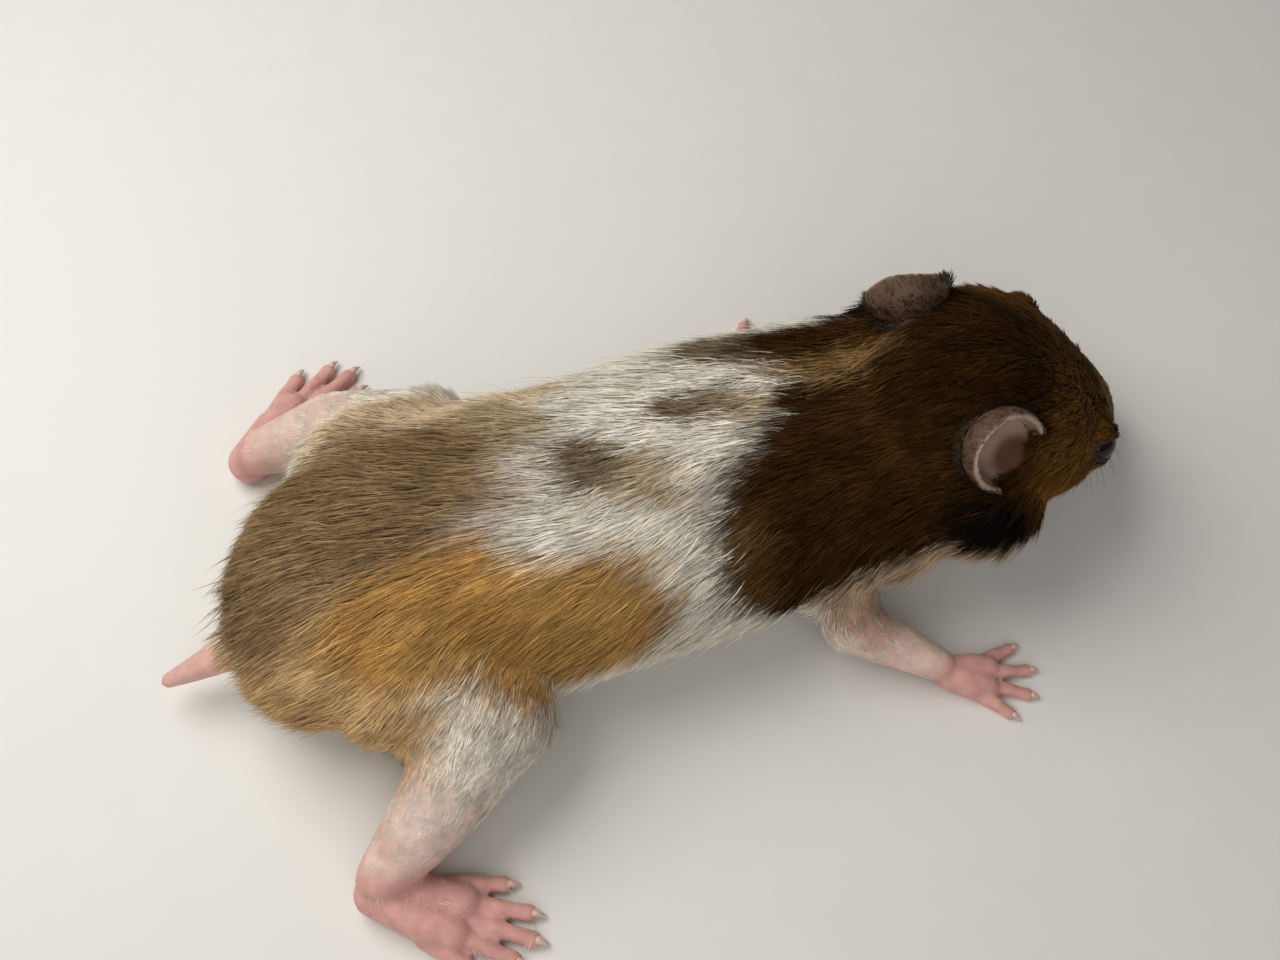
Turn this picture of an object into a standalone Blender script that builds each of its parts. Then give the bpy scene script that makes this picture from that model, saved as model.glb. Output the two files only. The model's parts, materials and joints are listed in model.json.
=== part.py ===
"""Syrian hamster pup about twelve days old, crawling with its hind legs spread, as a still life-size model.

The pup faces +X with its left side at +Y and lies on the floor at Z = 0. The origin is in the middle of the small flat
under its belly. The solids reach out to the tips of the coat: each shape is the flesh grown by the coat's depth.
The body is modelled whole, cut flat at the floor, and then parted into its named pieces by thin cuts.
Sizes and places are in millimetres. The frame WORLD brings them to metres, and puts the belly's flat at the origin.
"""

import math

import bmesh
import bpy
from mathutils import Matrix, Vector

MM = 0.001
BELLY_MIDDLE = (-8.8, 1.3, 0.0)
WORLD = Matrix.Scale(MM, 4) @ Matrix.Translation([-value for value in BELLY_MIDDLE])
GAP = 0.3

# ---- depth of the coat over the flesh ----
COAT_TRUNK = 1.3
COAT_HEAD = 1.3
COAT_FACE = 0.5
COAT_LEG = 0.5
BARE = 0.0

# ---- the box that cuts the body flat at the floor ----
FLOOR_LENGTH = 120
FLOOR_DEPTH = 10

# ---- fineness ----
CORE_VOXEL = 0.5
CORE_SMOOTHING = 14
SKIN_VOXEL = 0.3
SKIN_SMOOTHING = 3
RING_POINTS = 32
SECTION_STEPS = 4
SHARP = 50
BODY_TRIANGLES = 4900
EAR_VOXEL = 0.16
EAR_TRIANGLES = 240

# ---- trunk sections: x, y and z of the middle, half width, height above the middle, depth below it ----
TRUNK = (
    (-32.0, 0.4, 5.8, 2.2, 1.8, 2.2),
    (-30.4, 0.5, 6.1, 5.6, 4.2, 4.0),
    (-27.0, 0.8, 6.5, 8.4, 6.6, 5.3),
    (-22.0, 1.1, 6.6, 10.0, 8.3, 5.6),
    (-15.0, 1.3, 6.6, 10.4, 8.9, 5.7),
    (-7.0, 1.6, 6.5, 10.3, 8.4, 5.7),
    (1.0, 2.2, 6.5, 10.5, 7.9, 5.6),
    (8.0, 2.1, 7.0, 10.0, 7.9, 5.9),
    (14.0, 1.6, 7.6, 9.7, 7.8, 5.6),
    (19.0, 1.7, 8.6, 8.8, 6.8, 5.0),
)

# ---- head, in its own frame: +X to the nose, +Y to its left, +Z to the crown ----
HEAD_CENTRE = (22.6, 1.9, 10.0)
HEAD_PITCH = 20
HEAD_YAW = 7
CRANIUM = ((-3.0, 0, 0.6), (7.6, 7.8, 6.3))
CHEEK = ((-3.4, 5.5, -2.4), (5.4, 4.6, 4.2))
BROW = ((3.4, 3.9, 1.3), (2.8, 2.3, 2.3))
WHISKER_PAD = ((8.8, 2.3, -2.7), (2.6, 2.0, 1.8))
CHIN = ((7.0, 0, -4.6), (3.0, 1.9, 1.0))
NOSE = ((12.1, 0, -1.9), (0.8, 1.0, 0.7))
FACE = (
    (-1.0, 0, 0.6, 7.9, 5.8, 5.2),
    (2.0, 0, 0.2, 8.1, 5.5, 5.2),
    (5.0, 0, -0.5, 7.1, 4.6, 4.6),
    (8.0, 0, -1.4, 5.4, 3.4, 3.7),
    (10.4, 0, -2.0, 3.8, 2.3, 2.6),
    (12.0, 0, -2.3, 1.9, 1.3, 1.4),
)
EYE_CENTRE = (4.9, 5.6, 1.1)
EYE_RADIUS = 1.75

# ---- ears: a thin cup round the way it stands, tall behind and low in front, where it is open ----
EAR_ROOT = (-5.2, 5.7, 3.2)
EAR_AXIS = (-0.5, 0.55, 0.67)
EAR_OPENING = (0.63, 0.77, -0.1)
EAR_WRAP = 128
EAR_FRONT = 0.3
EAR_HEIGHT = 5.6
EAR_ROOT_RADIUS = 1.3
EAR_RIM_RADIUS = 3.4
EAR_TIP_ROUNDING = 0.35
EAR_THICKNESS = 0.8
EAR_SUNK = 0.8
EAR_RINGS = 10
EAR_POINTS = 24

# ---- legs: joints from the body to the ankle or wrist as x, y, z and radius, then the foot's heel and heading ----
HAUNCH = ((-20.5, 8.6, 6.9), (5.4, 4.2, 5.2))
HAUNCH_SPLAY = 1.3
TAIL = ((-30.0, 0.6, 5.4, 1.9), (-33.0, 0.2, 4.4, 1.4), (-36.0, 0.0, 3.4, 0.9), (-38.0, -0.1, 2.8, 0.55))
LEGS = {
    "hindleg_right": (
        ((-20.0, -4.5, 7.6, 5.8), (-16.8, -9.6, 6.4, 4.3), (-22.0, -14.6, 4.6, 2.9), (-26.6, -17.6, 2.6, 1.9)),
        (-27.2, -18.2),
        -31,
    ),
    "hindleg_left": (
        ((-20.0, 6.5, 7.6, 5.8), (-17.0, 11.2, 6.0, 4.3), (-23.0, 15.6, 4.5, 2.8), (-29.2, 16.2, 2.6, 1.8)),
        (-30.0, 16.4),
        35,
    ),
    "foreleg_right": (
        ((9.0, -3.0, 6.6, 3.6), (8.6, -9.6, 3.9, 2.1), (14.2, -13.6, 2.2, 1.45)),
        (14.9, -14.1),
        -21,
    ),
    "foreleg_left": (
        ((9.0, 7.0, 6.6, 3.6), (4.2, 11.0, 3.9, 2.1), (6.6, 14.0, 2.2, 1.45)),
        (7.1, 14.4),
        24,
    ),
}
# ---- feet: each toe's start forward of the heel and aside, the angle it spreads at and its length ----
HIND_TOES = ((4.4, -2.0, -16, 2.6), (6.0, -1.1, -7, 3.8), (6.4, 0.0, 0, 4.2), (6.0, 1.1, 7, 3.9), (4.8, 2.1, 16, 3.0))
FORE_TOES = ((2.5, -1.4, -28, 2.0), (3.0, -0.5, -8, 2.6), (3.0, 0.5, 10, 2.6), (2.5, 1.4, 30, 2.1))
HIND_SIZES = (1.6, 0.62, 0.95)
FORE_SIZES = (1.25, 0.5, 0.7)
FOOT_SUNK = 0.25

# ---- parting cuts: middle, way across the cut, its length across the body and its height ----
CUTS = {
    "head_from_neck": ((15.8, 1.6, 9.0), (1.0, 0.0, 0.0), 26.0, 26.0),
    "neck_from_trunk": ((12.2, 1.8, 8.0), (0.946, 0.0, 0.322), 24.0, 26.0),
    "foreleg_right_from_trunk": ((10.2, -10.6, 3.4), (-0.3, 0.95, 0.0), 9.4, 10.0),
    "foreleg_left_from_trunk": ((5.0, 12.6, 3.2), (0.0, 0.8, -0.6), 8.0, 9.0),
    "forefoot_right": ((14.3, -13.7, 2.1), (-0.8, 0.57, 0.2), 5.6, 6.0),
    "forefoot_left": ((6.8, 14.2, 2.1), (-0.6, -0.75, 0.3), 5.6, 6.0),
    "hindleg_right_from_trunk": ((-19.3, -12.0, 5.6), (0.0, 1.0, 0.0), 16.0, 16.0),
    "hindleg_left_from_trunk": ((-20.0, 13.6, 5.6), (0.0, 1.0, 0.0), 17.0, 16.0),
    "hindfoot_right": ((-26.9, -17.9, 2.3), (0.04, 0.82, 0.56), 9.0, 9.0),
    "hindfoot_left": ((-27.2, 17.0, 1.95), (0.0, -0.45, 0.89), 16.0, 10.0),
    "tail_from_trunk": ((-33.4, 0.2, 4.4), (1.0, 0.0, 0.3), 7.0, 7.0),
}
# ---- a point in each piece that the cuts leave ----
PIECES = {
    "head": (23.0, 1.9, 9.0),
    "neck": (14.0, 1.6, 8.5),
    "trunk": (-9.5, 1.3, 7.5),
    "tail": (-35.6, 0.1, 3.4),
    "foreleg_right": (12.4, -12.0, 2.9),
    "foreleg_left": (5.8, 13.8, 3.0),
    "forefoot_right": (17.5, -15.2, 0.9),
    "forefoot_left": (10.0, 16.5, 0.9),
    "hindleg_right": (-21.5, -14.4, 4.7),
    "hindleg_left": (-23.0, 16.0, 4.6),
    "hindfoot_right": (-22.0, -21.0, 1.0),
    "hindfoot_left": (-24.5, 19.0, 1.0),
}

# ---- looks: base colour and roughness of each kind of surface ----
LOOKS = {
    "coat_mantle": ((0.17, 0.10, 0.05), 0.85),
    "coat_saddle": ((0.50, 0.36, 0.21), 0.85),
    "coat_white": ((0.80, 0.74, 0.68), 0.85),
    "bare_skin": ((0.78, 0.47, 0.42), 0.6),
    "bare_ear": ((0.52, 0.42, 0.39), 0.65),
    "eye": ((0.01, 0.008, 0.007), 0.08),
}
SURFACES = {
    "head": "coat_mantle",
    "neck": "coat_mantle",
    "trunk": "coat_saddle",
    "tail": "bare_skin",
    "foreleg_right": "coat_white",
    "foreleg_left": "coat_white",
    "forefoot_right": "bare_skin",
    "forefoot_left": "bare_skin",
    "hindleg_right": "coat_white",
    "hindleg_left": "coat_white",
    "hindfoot_right": "bare_skin",
    "hindfoot_left": "bare_skin",
    "ear_right": "bare_ear",
    "ear_left": "bare_ear",
    "eye_right": "eye",
    "eye_left": "eye",
}


def catmull_rom(before, start, end, after, t):
    """The value at t between start and end, on a smooth curve through the four."""
    return 0.5 * (
        2 * start
        + (end - before) * t
        + (2 * before - 5 * start + 4 * end - after) * t * t
        + (3 * start - before - 3 * end + after) * t * t * t
    )


def smooth_rows(rows):
    """The rows with more rows between them, on a smooth curve through each column."""
    last = len(rows) - 1
    found = []
    for i in range(last):
        near = (rows[max(i - 1, 0)], rows[i], rows[i + 1], rows[min(i + 2, last)])
        for step in range(SECTION_STEPS):
            found.append([catmull_rom(*column, step / SECTION_STEPS) for column in zip(*near)])
    return found + [list(rows[-1])]


def frame_at(origin, yaw=0.0, pitch=0.0):
    """A frame at origin, turned to the left by yaw and then nodding down by pitch."""
    return (
        Matrix.Translation(origin)
        @ Matrix.Rotation(math.radians(yaw), 4, "Z")
        @ Matrix.Rotation(math.radians(pitch), 4, "Y")
    )


def mirrored(point, side):
    return Vector((point[0], side * point[1], point[2]))


def add_loft(bm, rows, coat, frame):
    """A closed body through elliptical sections across X, each with its own height above and depth below the middle."""
    rings = []
    for x, y, z, half_width, above, below in smooth_rows(rows):
        ring = []
        for i in range(RING_POINTS):
            angle = 2 * math.pi * i / RING_POINTS
            rise = (above if math.sin(angle) > 0 else below) + coat
            point = Vector((x, y + (half_width + coat) * math.cos(angle), z + rise * math.sin(angle)))
            ring.append(bm.verts.new(frame @ point))
        rings.append(ring)
    for near, far in zip(rings, rings[1:]):
        for i in range(RING_POINTS):
            j = (i + 1) % RING_POINTS
            bm.faces.new((near[i], near[j], far[j], far[i]))
    bm.faces.new(reversed(rings[0]))
    bm.faces.new(rings[-1])


def ball_mesh(turns, steps):
    """A ball of radius 1, kept to be copied."""
    bm = bmesh.new()
    bmesh.ops.create_uvsphere(bm, u_segments=turns, v_segments=steps, radius=1)
    mesh = bpy.data.meshes.new("ball")
    bm.to_mesh(mesh)
    bm.free()
    return mesh


def add_copy(bm, mesh, place):
    copy = mesh.copy()
    copy.transform(place)
    bm.from_mesh(copy)
    bpy.data.meshes.remove(copy)


def add_ellipsoid(bm, centre, radii, coat, frame):
    stretch = Matrix.Diagonal([radius + coat for radius in radii] + [1])
    mesh = ball_mesh(20, 12)
    add_copy(bm, mesh, frame @ Matrix.Translation(centre) @ stretch)
    bpy.data.meshes.remove(mesh)


def add_chain(bm, joints, coat, frame):
    """Balls at the joints (x, y, z, radius), with balls between them close enough to run into one another."""
    mesh = ball_mesh(16, 8)
    for start, end in zip(joints, joints[1:]):
        length = (Vector(end[:3]) - Vector(start[:3])).length
        steps = max(2, math.ceil(length / (0.35 * min(start[3], end[3]))))
        for i in range(steps + 1):
            x, y, z, radius = (a + (b - a) * i / steps for a, b in zip(start, end))
            add_copy(bm, mesh, frame @ Matrix.Translation((x, y, z)) @ Matrix.Scale(radius + coat, 4))
    bpy.data.meshes.remove(mesh)


def add_head(bm, frame):
    add_ellipsoid(bm, *CRANIUM, COAT_HEAD, frame)
    add_loft(bm, FACE, COAT_FACE, frame)
    add_ellipsoid(bm, *CHIN, COAT_FACE, frame)
    for side in (-1, 1):
        for (centre, radii), coat in ((CHEEK, COAT_HEAD), (BROW, COAT_FACE), (WHISKER_PAD, COAT_FACE)):
            add_ellipsoid(bm, mirrored(centre, side), radii, coat, frame)


def add_ear(bm, side, head_frame):
    up = mirrored(EAR_AXIS, side).normalized()
    aside = up.cross(mirrored(EAR_OPENING, side)).normalized()
    turn = Matrix((aside.cross(up), aside, up)).transposed().to_4x4()
    place = head_frame @ Matrix.Translation(mirrored(EAR_ROOT, side)) @ turn
    sheets = []
    for inset in (0, EAR_THICKNESS):
        sheet = []
        for i in range(EAR_RINGS + 1):
            share = i / EAR_RINGS
            ring = []
            for j in range(EAR_POINTS + 1):
                angle = math.radians(EAR_WRAP * (2 * j / EAR_POINTS - 1))
                tall = 0.5 + 0.5 * math.cos(angle)
                height = EAR_HEIGHT * (EAR_FRONT + (1 - EAR_FRONT) * tall) * share
                spread = math.sin(math.pi / 2 * share)
                radius = EAR_ROOT_RADIUS + (EAR_RIM_RADIUS - EAR_ROOT_RADIUS) * spread - inset
                radius *= 1 - EAR_TIP_ROUNDING * tall * share**4
                point = Vector((-radius * math.cos(angle), -radius * math.sin(angle), height - EAR_SUNK))
                ring.append(bm.verts.new(place @ point))
            sheet.append(ring)
        sheets.append(sheet)
    outer, inner = sheets
    for i in range(EAR_RINGS):
        for j in range(EAR_POINTS):
            bm.faces.new((outer[i][j], outer[i][j + 1], outer[i + 1][j + 1], outer[i + 1][j]))
            bm.faces.new((inner[i][j], inner[i + 1][j], inner[i + 1][j + 1], inner[i][j + 1]))
    edge = [(i, 0) for i in range(EAR_RINGS)]
    edge += [(EAR_RINGS, j) for j in range(EAR_POINTS)]
    edge += [(i, EAR_POINTS) for i in range(EAR_RINGS, 0, -1)]
    edge += [(0, j) for j in range(EAR_POINTS, 0, -1)]
    for (i, j), (k, m) in zip(edge, edge[1:] + edge[:1]):
        bm.faces.new((outer[i][j], inner[i][j], inner[k][m], outer[k][m]))


def add_foot(bm, heel, yaw, toes, heel_radius, toe_radius, claw_length):
    """A flat foot on the floor: a heel that widens to the toes, each toe bent a little at its knuckle, and claws."""
    frame = WORLD @ frame_at((*heel, -FOOT_SUNK), yaw)
    ball = max(toe[0] for toe in toes)
    half = max(toe[1] for toe in toes) * 0.5
    for side in (-1, 1):
        sole = (
            (0, 0, heel_radius, heel_radius),
            (ball * 0.5, side * half * 0.75, heel_radius * 0.9, heel_radius * 0.9),
            (ball * 0.86, side * half, heel_radius * 0.74, heel_radius * 0.76),
        )
        add_chain(bm, sole, BARE, frame)
    for forward, aside, spread, length in toes:
        way = Vector((math.cos(math.radians(spread)), math.sin(math.radians(spread)), 0))
        start = Vector((forward, aside, 0))
        root = start - 0.6 * way + Vector((0, 0, toe_radius * 1.3))
        knuckle = start + 0.45 * length * way + Vector((0, 0, toe_radius * 1.5))
        tip = start + length * way + Vector((0, 0, toe_radius))
        claw = tip + claw_length * way - Vector((0, 0, toe_radius * 0.3))
        add_chain(bm, ((*root, toe_radius * 1.15), (*knuckle, toe_radius), (*tip, toe_radius * 0.95)), BARE, frame)
        add_chain(bm, ((*tip, toe_radius * 0.5), (*claw, toe_radius * 0.3)), BARE, frame)


def placed(name, mesh, collection):
    obj = bpy.data.objects.new(name, mesh)
    collection.objects.link(obj)
    return obj


def applied(obj):
    """The mesh that the object's modifiers make. The object goes."""
    graph = bpy.context.evaluated_depsgraph_get()
    mesh = bpy.data.meshes.new_from_object(obj.evaluated_get(graph))
    bpy.data.objects.remove(obj)
    return mesh


def unified(bm, voxel, smoothing, triangles=None):
    """One closed skin round all that bm holds, with its creases smoothed out, brought down to so many triangles."""
    mesh = bpy.data.meshes.new("shapes")
    bm.to_mesh(mesh)
    bm.free()
    obj = placed("shapes", mesh, bpy.context.scene.collection)
    remesh = obj.modifiers.new("one_skin", "REMESH")
    remesh.mode = "VOXEL"
    remesh.voxel_size = voxel * MM
    smooth = obj.modifiers.new("no_creases", "SMOOTH")
    smooth.factor = 0.5
    smooth.iterations = smoothing
    mesh = applied(obj)
    if triangles is None:
        return mesh
    obj = placed("fine", mesh, bpy.context.scene.collection)
    fewer = obj.modifiers.new("fewer", "DECIMATE")
    fewer.ratio = triangles / (2 * len(mesh.polygons))
    fewer.use_collapse_triangulate = True
    return applied(obj)


def whole_body(head):
    """The body without its ears as one mesh: first the heavy forms, well smoothed together, then the fine ones."""
    bm = bmesh.new()
    add_loft(bm, TRUNK, COAT_TRUNK, WORLD)
    add_head(bm, head)
    for side in (-1, 1):
        splay = WORLD @ Matrix.Translation((0, HAUNCH_SPLAY, 0))
        add_ellipsoid(bm, mirrored(HAUNCH[0], side), HAUNCH[1], COAT_TRUNK, splay)
    for joints, _, _ in LEGS.values():
        add_chain(bm, joints, COAT_LEG, WORLD)
    core = unified(bm, CORE_VOXEL, CORE_SMOOTHING)
    bm = bmesh.new()
    add_ellipsoid(bm, *NOSE, BARE, head)
    add_chain(bm, TAIL, BARE, WORLD)
    for name, (_, heel, yaw) in LEGS.items():
        if name.startswith("hind"):
            add_foot(bm, heel, yaw, HIND_TOES, *HIND_SIZES)
        else:
            add_foot(bm, heel, yaw, FORE_TOES, *FORE_SIZES)
    bm.from_mesh(core)
    return unified(bm, SKIN_VOXEL, SKIN_SMOOTHING, BODY_TRIANGLES)


def grown(mesh, distance):
    """A copy of the mesh with its surface moved out by the distance."""
    bm = bmesh.new()
    bm.from_mesh(mesh)
    for vert in bm.verts:
        vert.co += vert.normal * distance
    copy = bpy.data.meshes.new("grown")
    bm.to_mesh(copy)
    bm.free()
    return copy


def box(size, place):
    bm = bmesh.new()
    bmesh.ops.create_cube(bm, size=1, matrix=place @ Matrix.Diagonal((*size, 1)))
    mesh = bpy.data.meshes.new("box")
    bm.to_mesh(mesh)
    bm.free()
    return mesh


def ball(centre, radius, frame):
    bm = bmesh.new()
    add_ellipsoid(bm, centre, (radius, radius, radius), BARE, frame)
    mesh = bpy.data.meshes.new("ball")
    bm.to_mesh(mesh)
    bm.free()
    return mesh


def cut(obj, cutter):
    boolean = obj.modifiers.new(cutter.name, "BOOLEAN")
    boolean.operation = "DIFFERENCE"
    boolean.solver = "EXACT"
    boolean.object = cutter


def cutter_object(name, mesh, cutters):
    cutter = placed(name, mesh, cutters)
    cutter.hide_render = True
    cutter.display_type = "WIRE"
    return cutter


def islands(mesh):
    """The separate closed bodies of the mesh."""
    bm = bmesh.new()
    bm.from_mesh(mesh)
    unseen = set(bm.faces)
    found = []
    while unseen:
        front = [unseen.pop()]
        body = []
        while front:
            face = front.pop()
            body.append(face)
            for edge in face.edges:
                for near in edge.link_faces:
                    if near in unseen:
                        unseen.discard(near)
                        front.append(near)
        numbers = {}
        for face in body:
            for vert in face.verts:
                numbers.setdefault(vert, len(numbers))
        made = bpy.data.meshes.new("piece")
        made.from_pydata(
            [vert.co for vert in numbers], [], [[numbers[vert] for vert in face.verts] for face in body]
        )
        found.append(made)
    bm.free()
    return found


def middle(mesh):
    corners = [vert.co for vert in mesh.vertices]
    return sum(corners, Vector()) / len(corners)


def material(name):
    colour, roughness = LOOKS[SURFACES[name]]
    made = bpy.data.materials.new(name)
    made.use_nodes = True
    shader = made.node_tree.nodes["Principled BSDF"]
    shader.inputs["Base Color"].default_value = (*colour, 1)
    shader.inputs["Roughness"].default_value = roughness
    shader.inputs["Metallic"].default_value = 0
    return made


def main():
    for obj in list(bpy.data.objects):
        bpy.data.objects.remove(obj)
    pup = bpy.data.collections.new("hamster_pup")
    cutters = bpy.data.collections.new("cutters")
    bpy.context.scene.collection.children.link(pup)
    bpy.context.scene.collection.children.link(cutters)

    head = WORLD @ frame_at(HEAD_CENTRE, HEAD_YAW, HEAD_PITCH)
    mesh = whole_body(head)
    made = {}
    around = cutter_object("cut_around_body", grown(mesh, GAP * MM), cutters)
    for side, name in ((-1, "right"), (1, "left")):
        bm = bmesh.new()
        add_ear(bm, side, head)
        ear = placed("ear", unified(bm, EAR_VOXEL, SKIN_SMOOTHING, EAR_TRIANGLES), pup)
        cut(ear, around)
        made["ear_" + name] = max(islands(applied(ear)), key=lambda piece: len(piece.vertices))
        made["eye_" + name] = ball(mirrored(EYE_CENTRE, side), EYE_RADIUS, head)

    body = placed("body", mesh, pup)
    floor = Matrix.Scale(MM, 4) @ Matrix.Translation((0, 0, -FLOOR_DEPTH / 2))
    cut(body, cutter_object("cut_floor", box((FLOOR_LENGTH, FLOOR_LENGTH, FLOOR_DEPTH), floor), cutters))
    for side, name in ((-1, "right"), (1, "left")):
        socket = ball(mirrored(EYE_CENTRE, side), EYE_RADIUS + GAP, head)
        cut(body, cutter_object("cut_socket_" + name, socket, cutters))
    for name, (point, way, across, height) in CUTS.items():
        turn = Vector(way).to_track_quat("Z", "Y").to_matrix().to_4x4()
        slab = box((across, height, GAP), WORLD @ Matrix.Translation(point) @ turn)
        cut(body, cutter_object("cut_" + name, slab, cutters))
    pieces = islands(applied(body))
    for name, point in PIECES.items():
        made[name] = min(pieces, key=lambda piece: (middle(piece) - WORLD @ Vector(point)).length)
    for name, mesh in made.items():
        obj = placed(name, mesh, pup)
        mesh.name = name
        mesh.materials.clear()
        mesh.materials.append(material(name))
        mesh.shade_smooth()
        mesh.set_sharp_from_angle(angle=math.radians(SHARP))


main()
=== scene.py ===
"""Looks of the Syrian hamster pup: one skin, its eyes, claws and whiskers, and a coat of solid tufts.

Sizes and places are in millimetres on the part's own axes: +X to the nose, +Y to its left, +Z up. WORLD
brings them to metres with the origin under the belly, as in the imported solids. The skin is the solids' shape
without the coat's depth. Every piece rides on the one body, root.
"""

import itertools
import json
import math

import bmesh
import bpy
import numpy as np
from mathutils import Matrix, Vector
from mathutils.kdtree import KDTree

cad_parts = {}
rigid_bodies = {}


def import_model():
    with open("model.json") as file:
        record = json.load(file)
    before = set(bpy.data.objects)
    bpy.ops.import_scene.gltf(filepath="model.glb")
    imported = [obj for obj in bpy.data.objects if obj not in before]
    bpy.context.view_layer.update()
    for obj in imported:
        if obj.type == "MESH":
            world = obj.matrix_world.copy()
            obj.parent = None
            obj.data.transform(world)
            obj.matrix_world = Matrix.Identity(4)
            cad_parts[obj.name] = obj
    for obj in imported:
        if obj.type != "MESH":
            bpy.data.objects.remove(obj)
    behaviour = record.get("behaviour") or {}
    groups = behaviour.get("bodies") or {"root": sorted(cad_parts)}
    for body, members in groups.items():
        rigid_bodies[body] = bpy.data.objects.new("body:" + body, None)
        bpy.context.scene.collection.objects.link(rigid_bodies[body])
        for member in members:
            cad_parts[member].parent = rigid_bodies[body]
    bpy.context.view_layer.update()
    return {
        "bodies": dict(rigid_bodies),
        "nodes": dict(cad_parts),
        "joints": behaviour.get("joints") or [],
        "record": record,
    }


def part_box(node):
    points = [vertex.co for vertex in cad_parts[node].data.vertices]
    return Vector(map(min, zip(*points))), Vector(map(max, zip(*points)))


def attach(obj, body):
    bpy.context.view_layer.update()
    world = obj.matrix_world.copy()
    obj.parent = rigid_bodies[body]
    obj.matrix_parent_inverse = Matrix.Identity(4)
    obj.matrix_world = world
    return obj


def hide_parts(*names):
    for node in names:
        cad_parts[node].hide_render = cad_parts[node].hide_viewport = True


MM = 0.001
BELLY_MIDDLE = (-8.8, 1.3, 0.0)
WORLD = Matrix.Scale(MM, 4) @ Matrix.Translation([-value for value in BELLY_MIDDLE])
UP = (0.0, 0.0, 1.0)
TINY = 1e-9

# ---- fineness of the skin ----
BALL_POINTS = (32, 20)
JOINT_POINTS = (20, 12)
JOINT_SPACING = 0.3
# voxel and rounds of smoothing, of the heavy forms and of the whole skin
CORE_FINENESS = (0.4, 22)
SKIN_FINENESS = (0.18, 3)
SKIN_KEPT = 0.44
RING_POINTS = 48
SECTION_STEPS = 6

# ---- trunk sections: x, y and z of the middle, half width, height above the middle, depth below it ----
TRUNK = (
    (-32, 0.4, 5.8, 2.2, 1.8, 2.2),
    (-30.4, 0.5, 6.1, 5.6, 4.2, 4),
    (-27, 0.8, 6.5, 8.4, 6.6, 5.3),
    (-22, 1.1, 6.6, 10, 8.3, 5.6),
    (-15, 1.3, 6.6, 10.4, 8.9, 5.7),
    (-7, 1.6, 6.5, 10.3, 8.4, 5.7),
    (1, 2.2, 6.5, 10.5, 7.9, 5.6),
    (8, 2.1, 7, 10, 7.9, 5.9),
    (14, 1.6, 7.6, 9.7, 7.8, 5.6),
    (19, 1.7, 8.6, 8.8, 6.8, 5),
)

# ---- head, in its own frame: +X to the nose, +Y to its left, +Z to the crown ----
HEAD_CENTRE = (22.6, 1.9, 10.0)
HEAD_PITCH = 20
HEAD_YAW = 7
CRANIUM = ((-3, 0, 0.6), (7.6, 7.8, 6.3))
CHEEK = ((-3.4, 5.5, -2.4), (5.4, 4.6, 4.2))
BROW = ((3.4, 3.9, 1.3), (2.8, 2.3, 2.3))
WHISKER_PAD = ((8.8, 2.3, -2.7), (2.6, 2, 1.8))
CHIN = ((7, 0, -4.6), (3, 1.9, 1))
NOSE = ((12.1, 0, -1.9), (0.8, 1.0, 0.7))
FACE = (
    (-1, 0, 0.6, 7.9, 5.8, 5.2),
    (2, 0, 0.2, 8.1, 5.5, 5.2),
    (5, 0, -0.5, 7.1, 4.6, 4.6),
    (8, 0, -1.4, 5.4, 3.4, 3.7),
    (10.4, 0, -2, 3.8, 2.3, 2.6),
    (12, 0, -2.3, 1.9, 1.3, 1.4),
)
EYE_CENTRE = (4.9, 5.6, 1.1)
EYE_RADIUS = 1.75

# ---- ears: a thin cup round the way it stands, tall behind and low in front, where it is open ----
EAR_ROOT = (-5.2, 5.7, 3.2)
EAR_AXIS = (-0.5, 0.55, 0.67)
EAR_OPENING = (0.63, 0.77, -0.1)
EAR_WRAP = 128
EAR_FRONT = 0.3
EAR_HEIGHT = 5.5
EAR_ROOT_RADIUS = 1.3
EAR_RIM_RADIUS = 3.3
EAR_TIP_ROUNDING = 0.35
EAR_THICKNESS = 0.5
EAR_SUNK = 0.9
EAR_RINGS = 14
EAR_POINTS = 40

# ---- haunch, tail and legs: joints as x, y, z and radius, then the foot's heel and heading ----
HAUNCH = ((-20.5, 8.6, 6.9), (5.4, 4.2, 5.2))
HIPS_MIDDLE = 1.3
TAIL = ((-30, 0.6, 5.4, 1.9), (-33, 0.2, 4.4, 1.4), (-36, 0, 3.4, 0.9), (-38, -0.1, 2.8, 0.55))
LEGS = {
    "hindleg_right": (
        ((-20, -4.5, 7.6, 5.8), (-16.8, -9.6, 6.4, 4.3), (-22, -14.6, 4.6, 2.9), (-26.6, -17.6, 2.6, 1.9)),
        (-27.2, -18.2),
        -31,
    ),
    "hindleg_left": (
        ((-20, 6.5, 7.6, 5.8), (-17, 11.2, 6, 4.3), (-23, 15.6, 4.5, 2.8), (-29.2, 16.2, 2.6, 1.8)),
        (-30, 16.4),
        35,
    ),
    "foreleg_right": (
        ((9, -3, 6.6, 3.6), (8.6, -9.6, 3.9, 2.1), (14.2, -13.6, 1.8, 1.35)),
        (14.9, -14.1),
        -21,
    ),
    "foreleg_left": (
        ((9, 7, 6.6, 3.6), (4.2, 11, 3.9, 2.1), (6.6, 14, 1.8, 1.35)),
        (7.1, 14.4),
        24,
    ),
}

# ---- feet: each toe's start forward of the heel and aside, the angle it spreads at and its length ----
HIND_TOES = ((4.4, -2, -16, 2.6), (6, -1.1, -7, 3.8), (6.4, 0, 0, 4.2), (6, 1.1, 7, 3.9), (4.8, 2.1, 16, 3))
FORE_TOES = ((2.5, -1.4, -28, 2), (3, -0.5, -8, 2.6), (3, 0.5, 10, 2.6), (2.5, 1.4, 30, 2.1))
# radius of the heel, radius of a toe, length of a claw
HIND_SIZES = (1.6, 0.62, 0.95)
FORE_SIZES = (1.25, 0.5, 0.7)
FOOT_SUNK = 0.25
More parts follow.
